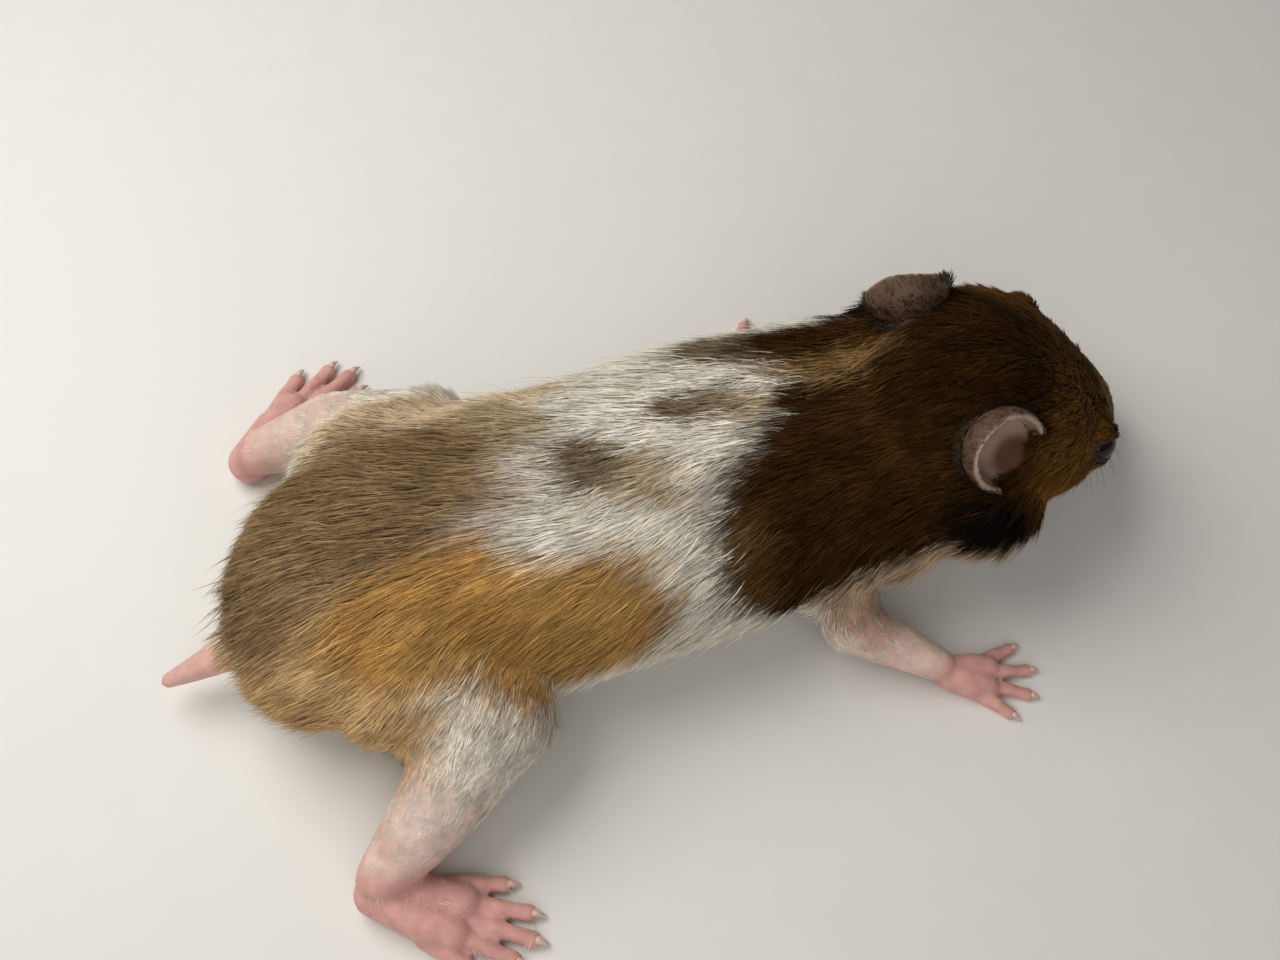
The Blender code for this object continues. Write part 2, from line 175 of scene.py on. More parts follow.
# each half of a sole: how far ahead, aside and up, and its radius, as shares of the foot's own sizes
SOLE = ((0, 0, 1, 1), (0.5, 0.75, 0.9, 0.9), (0.86, 1, 0.74, 0.76))
TOE_OVERLAP = 0.6
TOE_ROOT_RISE = 1.3
KNUCKLE_AT = 0.45
KNUCKLE_RISE = 1.5
TOE_MIDDLE_AT = 0.55
# a toe's thickness at its root, knuckle, middle and tip
TOE_RADII = (1.15, 1, 0.86, 0.98)

# ---- eyes, lids, nostrils and mouth, in the head's frame, on its left; the right is its mirror image ----
LID_THICKNESS = 0.16
LID_DEPTH = 0.3
LID_WAY = (0.34, 0.86, 0.38)
LID_LINE = (1.0, -0.3, -0.3)
LID_OPENING = (0.78, 0.42)
LID_REACH = 1.4 * EYE_RADIUS
# places in the slit: where the fur begins, and the width of its edge
LID_BARE = 1.08
LID_FADE = 0.9
NOSTRIL = ((12.95, 0.42, -1.75), (12.6, 0.95, -1.55))
MOUTH = ((13.1, 0, -2.95), (12.4, 0.9, -3.35), (11.2, 1.9, -3.75), (9.8, 2.7, -4.15), (8.7, 3, -4.2))
PHILTRUM = ((13, 0, -2.2), (13.1, 0, -2.95))
# width and depth of each groove
NOSTRIL_GROOVE = (0.2, 0.45)
MOUTH_GROOVE = (0.2, 0.32)
PHILTRUM_GROOVE = (0.16, 0.2)
NOSE_DETAIL = 4.6


def catmull_rom(before, start, end, after, t):
    """The value at t between start and end, on a smooth curve through the four."""
    return 0.5 * (
        2 * start
        + (end - before) * t
        + (2 * before - 5 * start + 4 * end - after) * t * t
        + (3 * start - before - 3 * end + after) * t * t * t
    )


def smooth_rows(rows):
    """The rows with more rows between them, on a smooth curve through each column."""
    last = len(rows) - 1
    found = []
    for i in range(last):
        near = (rows[max(i - 1, 0)], rows[i], rows[i + 1], rows[min(i + 2, last)])
        for step in range(SECTION_STEPS):
            found.append([catmull_rom(*column, step / SECTION_STEPS) for column in zip(*near)])
    return found + [list(rows[-1])]


def frame_at(origin, yaw=0.0, pitch=0.0):
    """A frame at origin, turned to the left by yaw and then nodding down by pitch."""
    return (
        Matrix.Translation(origin)
        @ Matrix.Rotation(math.radians(yaw), 4, "Z")
        @ Matrix.Rotation(math.radians(pitch), 4, "Y")
    )


def mirrored(point, side):
    return Vector((point[0], side * point[1], point[2]))


def foot_of(leg):
    return (HIND_TOES, HIND_SIZES) if leg.startswith("hind") else (FORE_TOES, FORE_SIZES)


BODY = Matrix.Identity(4)
HEAD = frame_at(HEAD_CENTRE, HEAD_YAW, HEAD_PITCH)
NOSE_AT = HEAD @ Vector(NOSE[0])
FEET = [name.replace("leg", "foot") for name in LEGS]


# ---- building blocks, each added to a bmesh in millimetres ----


def join_rings(bm, rings):
    """Faces from each ring of vertices to the next."""
    for near, far in zip(rings, rings[1:]):
        for i in range(len(near)):
            j = (i + 1) % len(near)
            bm.faces.new((near[i], near[j], far[j], far[i]))


def add_loft(bm, rows, frame):
    """A closed body through sections: x, y, z, half width, height above the middle and depth below it."""
    rings = []
    for x, y, z, half_width, above, below in smooth_rows(rows):
        ring = []
        for i in range(RING_POINTS):
            angle = 2 * math.pi * i / RING_POINTS
            rise = above if math.sin(angle) > 0 else below
            point = Vector((x, y + half_width * math.cos(angle), z + rise * math.sin(angle)))
            ring.append(bm.verts.new(frame @ point))
        rings.append(ring)
    join_rings(bm, rings)
    bm.faces.new(reversed(rings[0]))
    bm.faces.new(rings[-1])


def ball_mesh(turns, steps):
    """A ball of radius 1, kept to be copied."""
    bm = bmesh.new()
    bmesh.ops.create_uvsphere(bm, u_segments=turns, v_segments=steps, radius=1)
    mesh = bpy.data.meshes.new("ball")
    bm.to_mesh(mesh)
    bm.free()
    return mesh


def add_copy(bm, mesh, place):
    copy = mesh.copy()
    copy.transform(place)
    bm.from_mesh(copy)
    bpy.data.meshes.remove(copy)


def add_ellipsoid(bm, centre, radii, frame):
    mesh = ball_mesh(*BALL_POINTS)
    add_copy(bm, mesh, frame @ Matrix.Translation(centre) @ Matrix.Diagonal((*radii, 1)))
    bpy.data.meshes.remove(mesh)


def add_chain(bm, joints, frame):
    """Balls at the joints (x, y, z, radius) and between them, close enough to run into one another."""
    mesh = ball_mesh(*JOINT_POINTS)
    for start, end in zip(joints, joints[1:]):
        length = (Vector(end[:3]) - Vector(start[:3])).length
        steps = max(2, math.ceil(length / (JOINT_SPACING * min(start[3], end[3]))))
        for i in range(steps + 1):
            x, y, z, radius = (a + (b - a) * i / steps for a, b in zip(start, end))
            add_copy(bm, mesh, frame @ Matrix.Translation((x, y, z)) @ Matrix.Scale(radius, 4))
    bpy.data.meshes.remove(mesh)


def add_head(bm):
    add_ellipsoid(bm, *CRANIUM, HEAD)
    add_loft(bm, FACE, HEAD)
    add_ellipsoid(bm, *CHIN, HEAD)
    for side in (-1, 1):
        for centre, radii in (CHEEK, BROW, WHISKER_PAD):
            add_ellipsoid(bm, mirrored(centre, side), radii, HEAD)


def ear_frame(side):
    """An ear's own axes: +Z up its height, +X out of its opening."""
    up = mirrored(EAR_AXIS, side).normalized()
    aside = up.cross(mirrored(EAR_OPENING, side)).normalized()
    turn = Matrix((aside.cross(up), aside, up)).transposed().to_4x4()
    return HEAD @ Matrix.Translation(mirrored(EAR_ROOT, side)) @ turn


def add_ear(bm, side):
    """A cup of two sheets joined round their edges. It is tallest opposite its opening."""
    place = ear_frame(side)
    sheets = []
    for inset in (0, EAR_THICKNESS):
        sheet = []
        for i in range(EAR_RINGS + 1):
            share = i / EAR_RINGS
            ring = []
            for j in range(EAR_POINTS + 1):
                angle = math.radians(EAR_WRAP * (2 * j / EAR_POINTS - 1))
                tall = 0.5 + 0.5 * math.cos(angle)
                height = EAR_HEIGHT * (EAR_FRONT + (1 - EAR_FRONT) * tall) * share
                spread = math.sin(math.pi / 2 * share)
                radius = EAR_ROOT_RADIUS + (EAR_RIM_RADIUS - EAR_ROOT_RADIUS) * spread - inset
                radius *= 1 - EAR_TIP_ROUNDING * tall * share**4
                point = Vector((-radius * math.cos(angle), -radius * math.sin(angle), height - EAR_SUNK))
                ring.append(bm.verts.new(place @ point))
            sheet.append(ring)
        sheets.append(sheet)
    outer, inner = sheets
    for i in range(EAR_RINGS):
        for j in range(EAR_POINTS):
            bm.faces.new((outer[i][j], outer[i][j + 1], outer[i + 1][j + 1], outer[i + 1][j]))
            bm.faces.new((inner[i][j], inner[i + 1][j], inner[i + 1][j + 1], inner[i][j + 1]))
    edge = [(i, 0) for i in range(EAR_RINGS)]
    edge += [(EAR_RINGS, j) for j in range(EAR_POINTS)]
    edge += [(i, EAR_POINTS) for i in range(EAR_RINGS, 0, -1)]
    edge += [(0, j) for j in range(EAR_POINTS, 0, -1)]
    for (i, j), (k, m) in zip(edge, edge[1:] + edge[:1]):
        bm.faces.new((outer[i][j], inner[i][j], inner[k][m], outer[k][m]))


def toe_points(toe, radius):
    """Root, knuckle, tip and heading of a toe on the foot's own axes."""
    forward, aside, spread, length = toe
    way = Vector((math.cos(math.radians(spread)), math.sin(math.radians(spread)), 0))
    start = Vector((forward, aside, 0))
    root = start - TOE_OVERLAP * way + Vector((0, 0, radius * TOE_ROOT_RISE))
    knuckle = start + KNUCKLE_AT * length * way + Vector((0, 0, radius * KNUCKLE_RISE))
    tip = start + length * way + Vector((0, 0, radius))
    return root, knuckle, tip, way


def add_foot(bm, heel, yaw, toes, heel_radius, toe_radius):
    """A flat foot on the floor: a heel that widens to the toes, and the toes, each with a knuckle."""
    frame = frame_at((*heel, -FOOT_SUNK), yaw)
    ball = max(toe[0] for toe in toes)
    half = max(toe[1] for toe in toes) / 2
    for side in (-1, 1):
        sole = [
            (ball * ahead, side * half * aside, heel_radius * rise, heel_radius * radius)
            for ahead, aside, rise, radius in SOLE
        ]
        add_chain(bm, sole, frame)
    for toe in toes:
        root, knuckle, tip, _ = toe_points(toe, toe_radius)
        places = (root, knuckle, knuckle.lerp(tip, TOE_MIDDLE_AT), tip)
        add_chain(bm, [(*place, toe_radius * share) for place, share in zip(places, TOE_RADII)], frame)


def placed(name, mesh):
    obj = bpy.data.objects.new(name, mesh)
    bpy.context.scene.collection.objects.link(obj)
    return obj


def applied(obj):
    """The mesh that the object's modifiers make. The object goes."""
    graph = bpy.context.evaluated_depsgraph_get()
    mesh = bpy.data.meshes.new_from_object(obj.evaluated_get(graph))
    bpy.data.objects.remove(obj)
    return mesh


def unified(bm, voxel, smoothing):
    """One closed skin round all that bm holds, with its creases smoothed out."""
    mesh = bpy.data.meshes.new("shapes")
    bm.to_mesh(mesh)
    bm.free()
    obj = placed("shapes", mesh)
    remesh = obj.modifiers.new("one_skin", "REMESH")
    remesh.mode = "VOXEL"
    remesh.voxel_size = voxel
    smooth = obj.modifiers.new("no_creases", "SMOOTH")
    smooth.factor = 0.5
    smooth.iterations = smoothing
    return applied(obj)


def skin_mesh():
    """The flesh as one mesh: first the heavy forms, well smoothed together, then the fine ones."""
    bm = bmesh.new()
    add_loft(bm, TRUNK, BODY)
    add_head(bm)
    for side in (-1, 1):
        hips = Matrix.Translation((0, HIPS_MIDDLE, 0))
        add_ellipsoid(bm, mirrored(HAUNCH[0], side), HAUNCH[1], hips)
    for joints, _, _ in LEGS.values():
        add_chain(bm, joints, BODY)
    core = unified(bm, *CORE_FINENESS)
    bm = bmesh.new()
    add_ellipsoid(bm, *NOSE, HEAD)
    add_chain(bm, TAIL, BODY)
    for side in (-1, 1):
        add_ear(bm, side)
        add_ellipsoid(bm, mirrored(EYE_CENTRE, side), [EYE_RADIUS + LID_THICKNESS] * 3, HEAD)
    for name, (_, heel, yaw) in LEGS.items():
        toes, sizes = foot_of(name)
        add_foot(bm, heel, yaw, toes, *sizes[:2])
    bm.from_mesh(core)
    return unified(bm, *SKIN_FINENESS)


# ---- fine shaping of the skin, on arrays of points in millimetres ----


def normalized(rows):
    return rows / np.maximum(np.linalg.norm(rows, axis=1, keepdims=True), TINY)


def spot_share(points, centre, radius, edge):
    """1 within the radius of the centre, falling to 0 over the edge."""
    away = np.linalg.norm(points - np.array(centre), axis=1)
    return np.clip(1 - (away - radius) / edge, 0, 1)


def on_axes(points, frame):
    """The points on the frame's own axes."""
    back = np.array(frame.inverted())
    return points @ back[:3, :3].T + back[:3, 3]


def read_rows(items, key, kind=float):
    values = np.empty(len(items) * 3, kind)
    items.foreach_get(key, values)
    return values.reshape(-1, 3)


def read_points(mesh):
    return read_rows(mesh.vertices, "co"), read_rows(mesh.vertices, "normal")


def path_distance(points, path):
    """How far each point is from the path's nearest stretch."""
    nearest = np.full(len(points), np.inf)
    for start, end in zip(path, path[1:]):
        start, end = np.array(start), np.array(end)
        stretch = end - start
        share = np.clip((points - start) @ stretch / (stretch @ stretch), 0, 1)
        away = np.linalg.norm(points - start - share[:, None] * stretch, axis=1)
        nearest = np.minimum(nearest, away)
    return nearest


def pressed(points, normals, path, width, depth):
    """The points near the path moved in, as a groove of that width and depth."""
    share = np.exp(-((path_distance(points, path) / width) ** 2))
    return points - normals * (depth * share)[:, None]


def head_path(path, side):
    return [tuple(HEAD @ mirrored(point, side)) for point in path]


def lid_slit(points, side):
    """Each point's way and distance from the middle of the eye, and its place in the slit between the lids.

    The place is below 1 in the slit, and infinite for points that are not on the eye's lids.
    """
    centre = np.array(HEAD @ mirrored(EYE_CENTRE, side))
    turn = HEAD.to_3x3()
    out = turn @ mirrored(LID_WAY, side).normalized()
    line = turn @ mirrored(LID_LINE, side)
    line = (line - line.project(out)).normalized()
    rise = np.array(out.cross(line))
    away = points - centre
    distance = np.linalg.norm(away, axis=1)
    unit = away / np.maximum(distance, TINY)[:, None]
    slit = np.hypot(unit @ np.array(line) / LID_OPENING[0], unit @ rise / LID_OPENING[1])
    near = (distance < LID_REACH) & (unit @ np.array(out) > 0)
    return unit, distance, np.where(near, slit, np.inf)


def lids_opened(points, side):
    """The skin over the eye drawn back behind the eyeball within the slit between the lids."""
    unit, distance, slit = lid_slit(points, side)
    lid = (slit >= 1) & np.isfinite(slit) & (distance < EYE_RADIUS + LID_THICKNESS)
    moved = np.where(slit < 1, EYE_RADIUS - LID_DEPTH, distance)
    moved = np.where(lid, EYE_RADIUS + LID_THICKNESS, moved)
    return points + unit * (moved - distance)[:, None]


def refined(mesh, spots):
    """The mesh with its faces cut in four within the given distance of each spot."""
    bm = bmesh.new()
    bm.from_mesh(mesh)
    for centre, reach in spots:
        chosen = [face for face in bm.faces if (face.calc_center_median() - centre).length < reach]
        edges = list({edge for face in chosen for edge in face.edges})
        bmesh.ops.subdivide_edges(bm, edges=edges, cuts=1, use_grid_fill=True)
    bmesh.ops.triangulate(bm, faces=[face for face in bm.faces if len(face.verts) > 4])
    bm.to_mesh(mesh)
    bm.free()


def shaped_skin():
    mesh = skin_mesh()
    spots = [(HEAD @ mirrored(EYE_CENTRE, side), LID_REACH) for side in (-1, 1)]
    spots.append((NOSE_AT, NOSE_DETAIL))
    refined(mesh, spots)
    points, normals = read_points(mesh)
    for side in (-1, 1):
        points = lids_opened(points, side)
        points = pressed(points, normals, head_path(NOSTRIL, side), *NOSTRIL_GROOVE)
        points = pressed(points, normals, head_path(MOUTH, side), *MOUTH_GROOVE)
    points = pressed(points, normals, head_path(PHILTRUM, 1), *PHILTRUM_GROOVE)
    points[:, 2] = np.maximum(points[:, 2], 0)
    mesh.vertices.foreach_set("co", points.ravel())
    mesh.update()
    obj = placed("shaped", mesh)
    obj.modifiers.new("fewer_faces", "DECIMATE").ratio = SKIN_KEPT
    return applied(obj)


# ---- markings: what the skin and the coat both show at a place on the body ----
# Each kind of coat has the colour of a tuft's root, of its band and of its tip.
# The roots are darker partly for the hairs' own darker bases and partly as painted shade deep in the coat.
COATS = {
    "white": ((0.68, 0.55, 0.46), (0.79, 0.73, 0.62), (0.82, 0.78, 0.68)),
    "cream": ((0.26, 0.17, 0.11), (0.46, 0.32, 0.21), (0.52, 0.39, 0.27)),
    "sand": ((0.42, 0.32, 0.22), (0.68, 0.51, 0.33), (0.58, 0.43, 0.26)),
    "fawn": ((0.40, 0.27, 0.15), (0.66, 0.43, 0.21), (0.58, 0.36, 0.16)),
    "gold": ((0.30, 0.18, 0.08), (0.52, 0.29, 0.09), (0.47, 0.25, 0.075)),
    "tan": ((0.24, 0.18, 0.12), (0.44, 0.33, 0.20), (0.34, 0.25, 0.15)),
    "saddle": ((0.085, 0.058, 0.035), (0.28, 0.18, 0.09), (0.12, 0.075, 0.037)),
    "umber": ((0.07, 0.04, 0.018), (0.25, 0.145, 0.055), (0.15, 0.085, 0.03)),
    "grey": ((0.10, 0.08, 0.055), (0.24, 0.18, 0.11), (0.10, 0.075, 0.045)),
    # the mantle's dark brown fur, darkened past its own colour as painted shade over the head, neck and
    # shoulders
    "mantle_with_painted_shade": ((0.011, 0.005, 0.002), (0.046, 0.019, 0.004), (0.012, 0.005, 0.0015)),
    "brown": ((0.05, 0.025, 0.008), (0.20, 0.088, 0.018), (0.115, 0.05, 0.012)),
    "dusk": ((0.025, 0.013, 0.005), (0.105, 0.052, 0.014), (0.045, 0.022, 0.007)),
    "black": ((0.006, 0.004, 0.003), (0.007, 0.005, 0.004), (0.005, 0.004, 0.003)),
}
# The patches are painted in order, each over the ones before: kind of coat, middle, reach along each axis,
# width of the faded edge and any turn to the left. The head's are in its own frame, on both its sides.
BODY_PATCHES = (
    ("fawn", (-28, -7.5, 8.6), (9, 6.5, 8), 0.3),
    ("fawn", (-25, -2.5, 12.5), (8, 5.6, 5.5), 0.3),
    ("gold", (-19, -5, 13), (8, 4.8, 4.6), 0.4),
    ("gold", (-11.4, -8, 11), (7.6, 5, 5.4), 0.45),
    ("white", (-16, -14, 5.4), (4.6, 4.4, 4.4), 0.6),
    ("sand", (-17, 10.4, 11.8), (9.6, 3.7, 4), 0.4, -6),
    ("fawn", (-31.5, 0.4, 5.4), (3.4, 4, 3.6), 0.5),
    ("tan", (-13, 7, 14.5), (5, 3.4, 2.6), 0.5, -30),
    ("saddle", (-23.6, 3.8, 14), (11.6, 6.6, 9), 0.4, -8),
    ("saddle", (-30.6, 1.6, 10.5), (5.6, 6.4, 5.6), 0.4),
    ("tan", (-4, -0.6, 15.6), (4.2, 2, 2.2), 0.8, -20),
    ("grey", (-7.9, 1.4, 15.7), (2.9, 2.2, 2.2), 0.6, -30),
    ("tan", (3.4, 3.3, 15.4), (2.8, 1.2, 2), 0.7, -14),
    ("grey", (0.2, 4.1, 15.2), (3.3, 1.5, 2.2), 0.4, -14),
    # these patches carry painted shade over the head, neck and shoulders as well as the dark fur
    ("mantle_with_painted_shade", (16, -5, 13), (16.6, 9.5, 8.2), 0.24),
    ("mantle_with_painted_shade", (9.2, -7.6, 10.2), (9.6, 4, 4.2), 0.3),
    ("dusk", (1.6, -6.6, 11.4), (2.2, 4, 3.4), 1),
    ("mantle_with_painted_shade", (23, 2, 12.5), (13.5, 12.5, 9.5), 0.2),
    ("grey", (4.8, 9.2, 13.4), (5.4, 2.3, 3.6), 0.4, -26),
    ("mantle_with_painted_shade", (9.8, 8, 14.2), (6, 2.3, 3.4), 0.5, -20),
    ("mantle_with_painted_shade", (9.2, 2.2, 15.6), (3.8, 2, 2.4), 0.5, -10),
    ("umber", (10.6, 4.9, 15.7), (5, 1.6, 2.4), 0.7, -10),
    ("cream", (11.6, -10.6, 7), (6, 3.4, 2.4), 0.5),
)
HEAD_PATCHES = (
    ("brown", (7.5, 0, 2), (8.6, 9.5, 6.6), 0.9),
    ("brown", (4.6, 6, 1), (8.6, 5.6, 4.8), 0.6),
    ("gold", (9.4, 2.4, 0.4), (3.4, 2.6, 2), 0.9),
    ("cream", (-5.2, 9.6, -5.6), (6.6, 4.4, 2.8), 0.4),
    ("cream", (7, 3.2, -4.6), (6.6, 4, 2.8), 0.4),
    ("white", (1, 0, -8.6), (15, 8.8, 4), 0.4),
    ("black", (-5.6, 10.4, -1.7), (4, 4, 1.9), 0.4),
    ("black", (5.2, 7.2, 1.3), (1.8, 1.1, 0.9), 0.8),
    ("dusk", (-7.6, 8.6, 6.9), (3.6, 3.2, 3.4), 0.3),
)
# ---- bare places, on the skin alone, and painted shade in the ears, ear openings and nostrils ----
SKIN_PINK = (0.70, 0.41, 0.35)
LEG_PINKNESS = 0.45
SKIN_TOE = (0.66, 0.35, 0.31)
SKIN_EAR = (0.47, 0.37, 0.30)
# painted shade: the ear's inner skin darkened low in its hollow; the ear's own colour comes back towards the
# rim
SKIN_EAR_HOLLOW_SHADE = (0.34, 0.23, 0.17)
SKIN_EAR_BACK = (0.12, 0.07, 0.047)
# painted shade: the dark of the ear openings and nostrils, where the real openings are deep
SKIN_OPENING_SHADE = (0.11, 0.04, 0.022)
NOSTRIL_SHADE = 0.8
# radius of each spot and width of its edge
NOSE_PINK = (0.7, 1.0)
CANAL_SHADE_SPOT = (1.2, 0.7)
# factors on what the guides give the tail, ears and feet
TAIL_BARE = 1.5
EAR_BARE = 1.6
FOOT_BARE = 1.2
# the hollow of an ear, on the ear's own axes
CANAL = (1.3, 0.0, 0.5)
EAR_MOUTH = (1.5, 0.0, 4.5)
EAR_MARGIN = 0.15
EAR_EDGE = 1.6
HOLLOW_SHARE = (0.65, 1.5)
# height up the ear where the hollow's painted shade gives way to the ear's own colour
RIM_FROM = 0.35 * EAR_HEIGHT

# ---- noise: waves of the patches' edges as size and depth, streaks as length, width and strength ----
EDGE_WAVES = ((3.2, 0.9), (1.1, 0.4))
STREAKS = ((2.6, 0.9, 0.42), (4.2, 2.2, 0.3))
STREAK_SEED = 40
AXIS_SEED = 7.1
HASH_WAY = (12.9898, 78.233, 37.719)
HASH_SCALE = 43758.5453


def lattice_noise(points, size, seed):
    """Smooth noise from -1 to 1 at the points, about size from one crest to the next."""
    scaled = points / size
    cell = np.floor(scaled)
    part = scaled - cell
    part = part * part * (3 - 2 * part)
    total = np.zeros(len(points))
    for corner in itertools.product((0, 1), repeat=3):
        spot = cell + corner
        value = np.sin(spot @ HASH_WAY + seed) * HASH_SCALE
        share = np.prod(np.where(corner, part, 1 - part), axis=1)
        total += share * (value - np.floor(value))
    return total * 2 - 1


def patch_share(points, middle, reach, fade, turn=0):
    """How much of each point lies in a soft-edged ellipsoid: 1 well inside, 0 well outside."""
    angle = math.radians(turn)
    away = points - middle
    ahead = away[:, 0] * math.cos(angle) + away[:, 1] * math.sin(angle)
    aside = away[:, 1] * math.cos(angle) - away[:, 0] * math.sin(angle)
    depth = np.sqrt((ahead / reach[0]) ** 2 + (aside / reach[1]) ** 2 + (away[:, 2] / reach[2]) ** 2)
    share = np.clip((1 + fade / 2 - depth) / fade, 0, 1)
    return share * share * (3 - 2 * share)


def markings(points):
    """Colours of root, band and tip at each point, as rows of nine numbers."""
    moved = points.copy()
    for seed, (size, strength) in enumerate(EDGE_WAVES):
        shift = [lattice_noise(points, size, seed + 1 + axis * AXIS_SEED) for axis in range(3)]
        moved += strength * np.stack(shift, axis=1)
    colours = np.tile(np.ravel(COATS["white"]), (len(points), 1))
    on_head = on_axes(moved, HEAD)
    on_head[:, 1] = np.abs(on_head[:, 1])
    for places, patches in ((moved, BODY_PATCHES), (on_head, HEAD_PATCHES)):
        for kind, *patch in patches:
            share = patch_share(places, *patch)[:, None]
            colours += share * (np.ravel(COATS[kind]) - colours)
    for seed, (length, width, strength) in enumerate(STREAKS):
        streaks = lattice_noise(points * (width / length, 1, 1), width, STREAK_SEED + seed)
        colours *= 1 + strength * streaks[:, None] * (1 - colours)
    return colours


def ear_hollow(points, normals):
    """How much each point faces an ear's hollow, 1 in it and 0 outside, and how high up the ear it is."""
    hollow, heights = np.zeros(len(points)), np.zeros(len(points))
    for side in (-1, 1):
        mouth = np.array(ear_frame(side) @ Vector(EAR_MOUTH))
        facing = (normalized(mouth - points) * normals).sum(axis=1)
        ahead, aside, height = on_axes(points, ear_frame(side)).T
        rise = np.clip((height + EAR_SUNK) / EAR_HEIGHT, 0, 1)
        wall = EAR_ROOT_RADIUS + (EAR_RIM_RADIUS - EAR_ROOT_RADIUS) * np.sin(math.pi / 2 * rise)
        near = (np.abs(height) < EAR_HEIGHT) & (ahead < EAR_EDGE)
        near &= np.hypot(ahead, aside) < wall + EAR_MARGIN
        hollow = np.where(near, np.clip(HOLLOW_SHARE[0] + HOLLOW_SHARE[1] * facing, 0, 1), hollow)
        heights = np.where(near, height, heights)
    return hollow, heights


# ---- lie of the coat: guides down the body, head and limbs ----
# Each style has the tufts' length, how steeply they rise, their width and their number on a square mm.
STYLES = {
    "rump": (2.9, 0.46, 0.105, 40),
    "back": (2.8, 0.36, 0.105, 40),
    "shoulder": (2.5, 0.36, 0.105, 40),
    "crown": (1.8, 0.34, 0.095, 48),
    "face": (1.1, 0.32, 0.08, 56),
    "muzzle": (0.55, 0.28, 0.055, 70),
    "thigh": (1.3, 0.18, 0.085, 40),
    "shank": (0.55, 0.11, 0.04, 22),
    "ankle": (0.35, 0.12, 0.03, 8),
    "foot": (0.28, 0.14, 0.03, 7),
    "tail": (0.4, 0.22, 0.03, 12),
    "ear": (0.42, 0.2, 0.035, 30),
}
EARS = {"ear_right": -1, "ear_left": 1}
LINES = ["trunk", "head", "tail", *LEGS, *FEET, *EARS]
HEAD_BACK = ((-5, 0, 0.4, 7.2), (-10, 0, 0, 7))
EAR_LINE = ((0, 0, 0.9, 3.0), (-0.6, 0, 0.8 * EAR_HEIGHT, 3.8))
GUIDE_STEP = 1.0
GUIDE_SHARPNESS = 10
GUIDE_NEAREST = 0.05
POINTS_AT_ONCE = 20000
DOWNWARD = 0.3
TAIL_HOLD = 2.5
FOOT_HOLD = 1.8
SOLE_END = (0.6, 1.4)
# columns of a guide
PLACE, HEADING, RADIUS, STYLE, ALONG, LINE = slice(0, 3), slice(3, 6), 6, slice(7, 11), 11, 12


def add_guide(guides, line, joints, styles, frame, fall=0.0, swept=False):
    """Points along the joints (x, y, z, radius), each with a heading and a style between the joints' own.

    On a swept line the fur of the first stretch already lies as that of the second.
    """
    places = [frame @ Vector(joint[:3]) for joint in joints]
    run = 0.0
    for i, (start, end) in enumerate(zip(places, places[1:])):
        ahead = end - start
        way = ahead.normalized() - Vector((0, 0, fall))
        if swept and i == 0:
            way = (places[2] - places[1]).normalized()
        steps = max(1, round(ahead.length / GUIDE_STEP))
        for step in range(steps):
            share = (step + 0.5) / steps
            style = [a + (b - a) * share for a, b in zip(STYLES[styles[i]], STYLES[styles[i + 1]])]
            radius = joints[i][3] + (joints[i + 1][3] - joints[i][3]) * share
            along = run + share * ahead.length
            guides.append([*start.lerp(end, share), *way, radius, *style, along, LINES.index(line)])
        run += ahead.length


def middle_line(rows):
    return [(x, y, z, (half + above) / 2) for x, y, z, half, above, _ in reversed(rows)]


def all_guides():
    """Rows of place, heading, radius, style, distance along the line and the line's number."""
    guides = []
    styles = ["shoulder"] * 3 + ["back"] * 3 + ["rump"] * 3 + ["thigh"]
    add_guide(guides, "trunk", middle_line(TRUNK), styles, BODY, DOWNWARD)
    tail = [(x, y, z, TAIL_HOLD * radius) for x, y, z, radius in TAIL[1:]]
    add_guide(guides, "tail", tail, ["tail"] * 3, BODY)
    styles = ["muzzle"] * 3 + ["face"] * 2 + ["crown"] * 2 + ["shoulder"]
    add_guide(guides, "head", [*middle_line(FACE), *HEAD_BACK], styles, HEAD, DOWNWARD)
    for name, foot in zip(LEGS, FEET):
        joints, heel, yaw = LEGS[name]
        toes, (size, _, _) = foot_of(name)
        styles = ["thigh"] * (len(joints) - 2) + ["shank", "ankle"]
        add_guide(guides, name, joints, styles, BODY, swept=name.startswith("hind"))
        reach = max(toe[0] + toe[3] for toe in toes)
        end = (reach, 0, size * SOLE_END[0], size * SOLE_END[1] * FOOT_HOLD)
        sole = ((0, 0, size, size * FOOT_HOLD), end)
        add_guide(guides, foot, sole, ["foot"] * 2, frame_at((*heel, 0), yaw))
    for name, side in EARS.items():
        add_guide(guides, name, EAR_LINE, ["ear"] * 2, ear_frame(side))
    return np.array(guides)


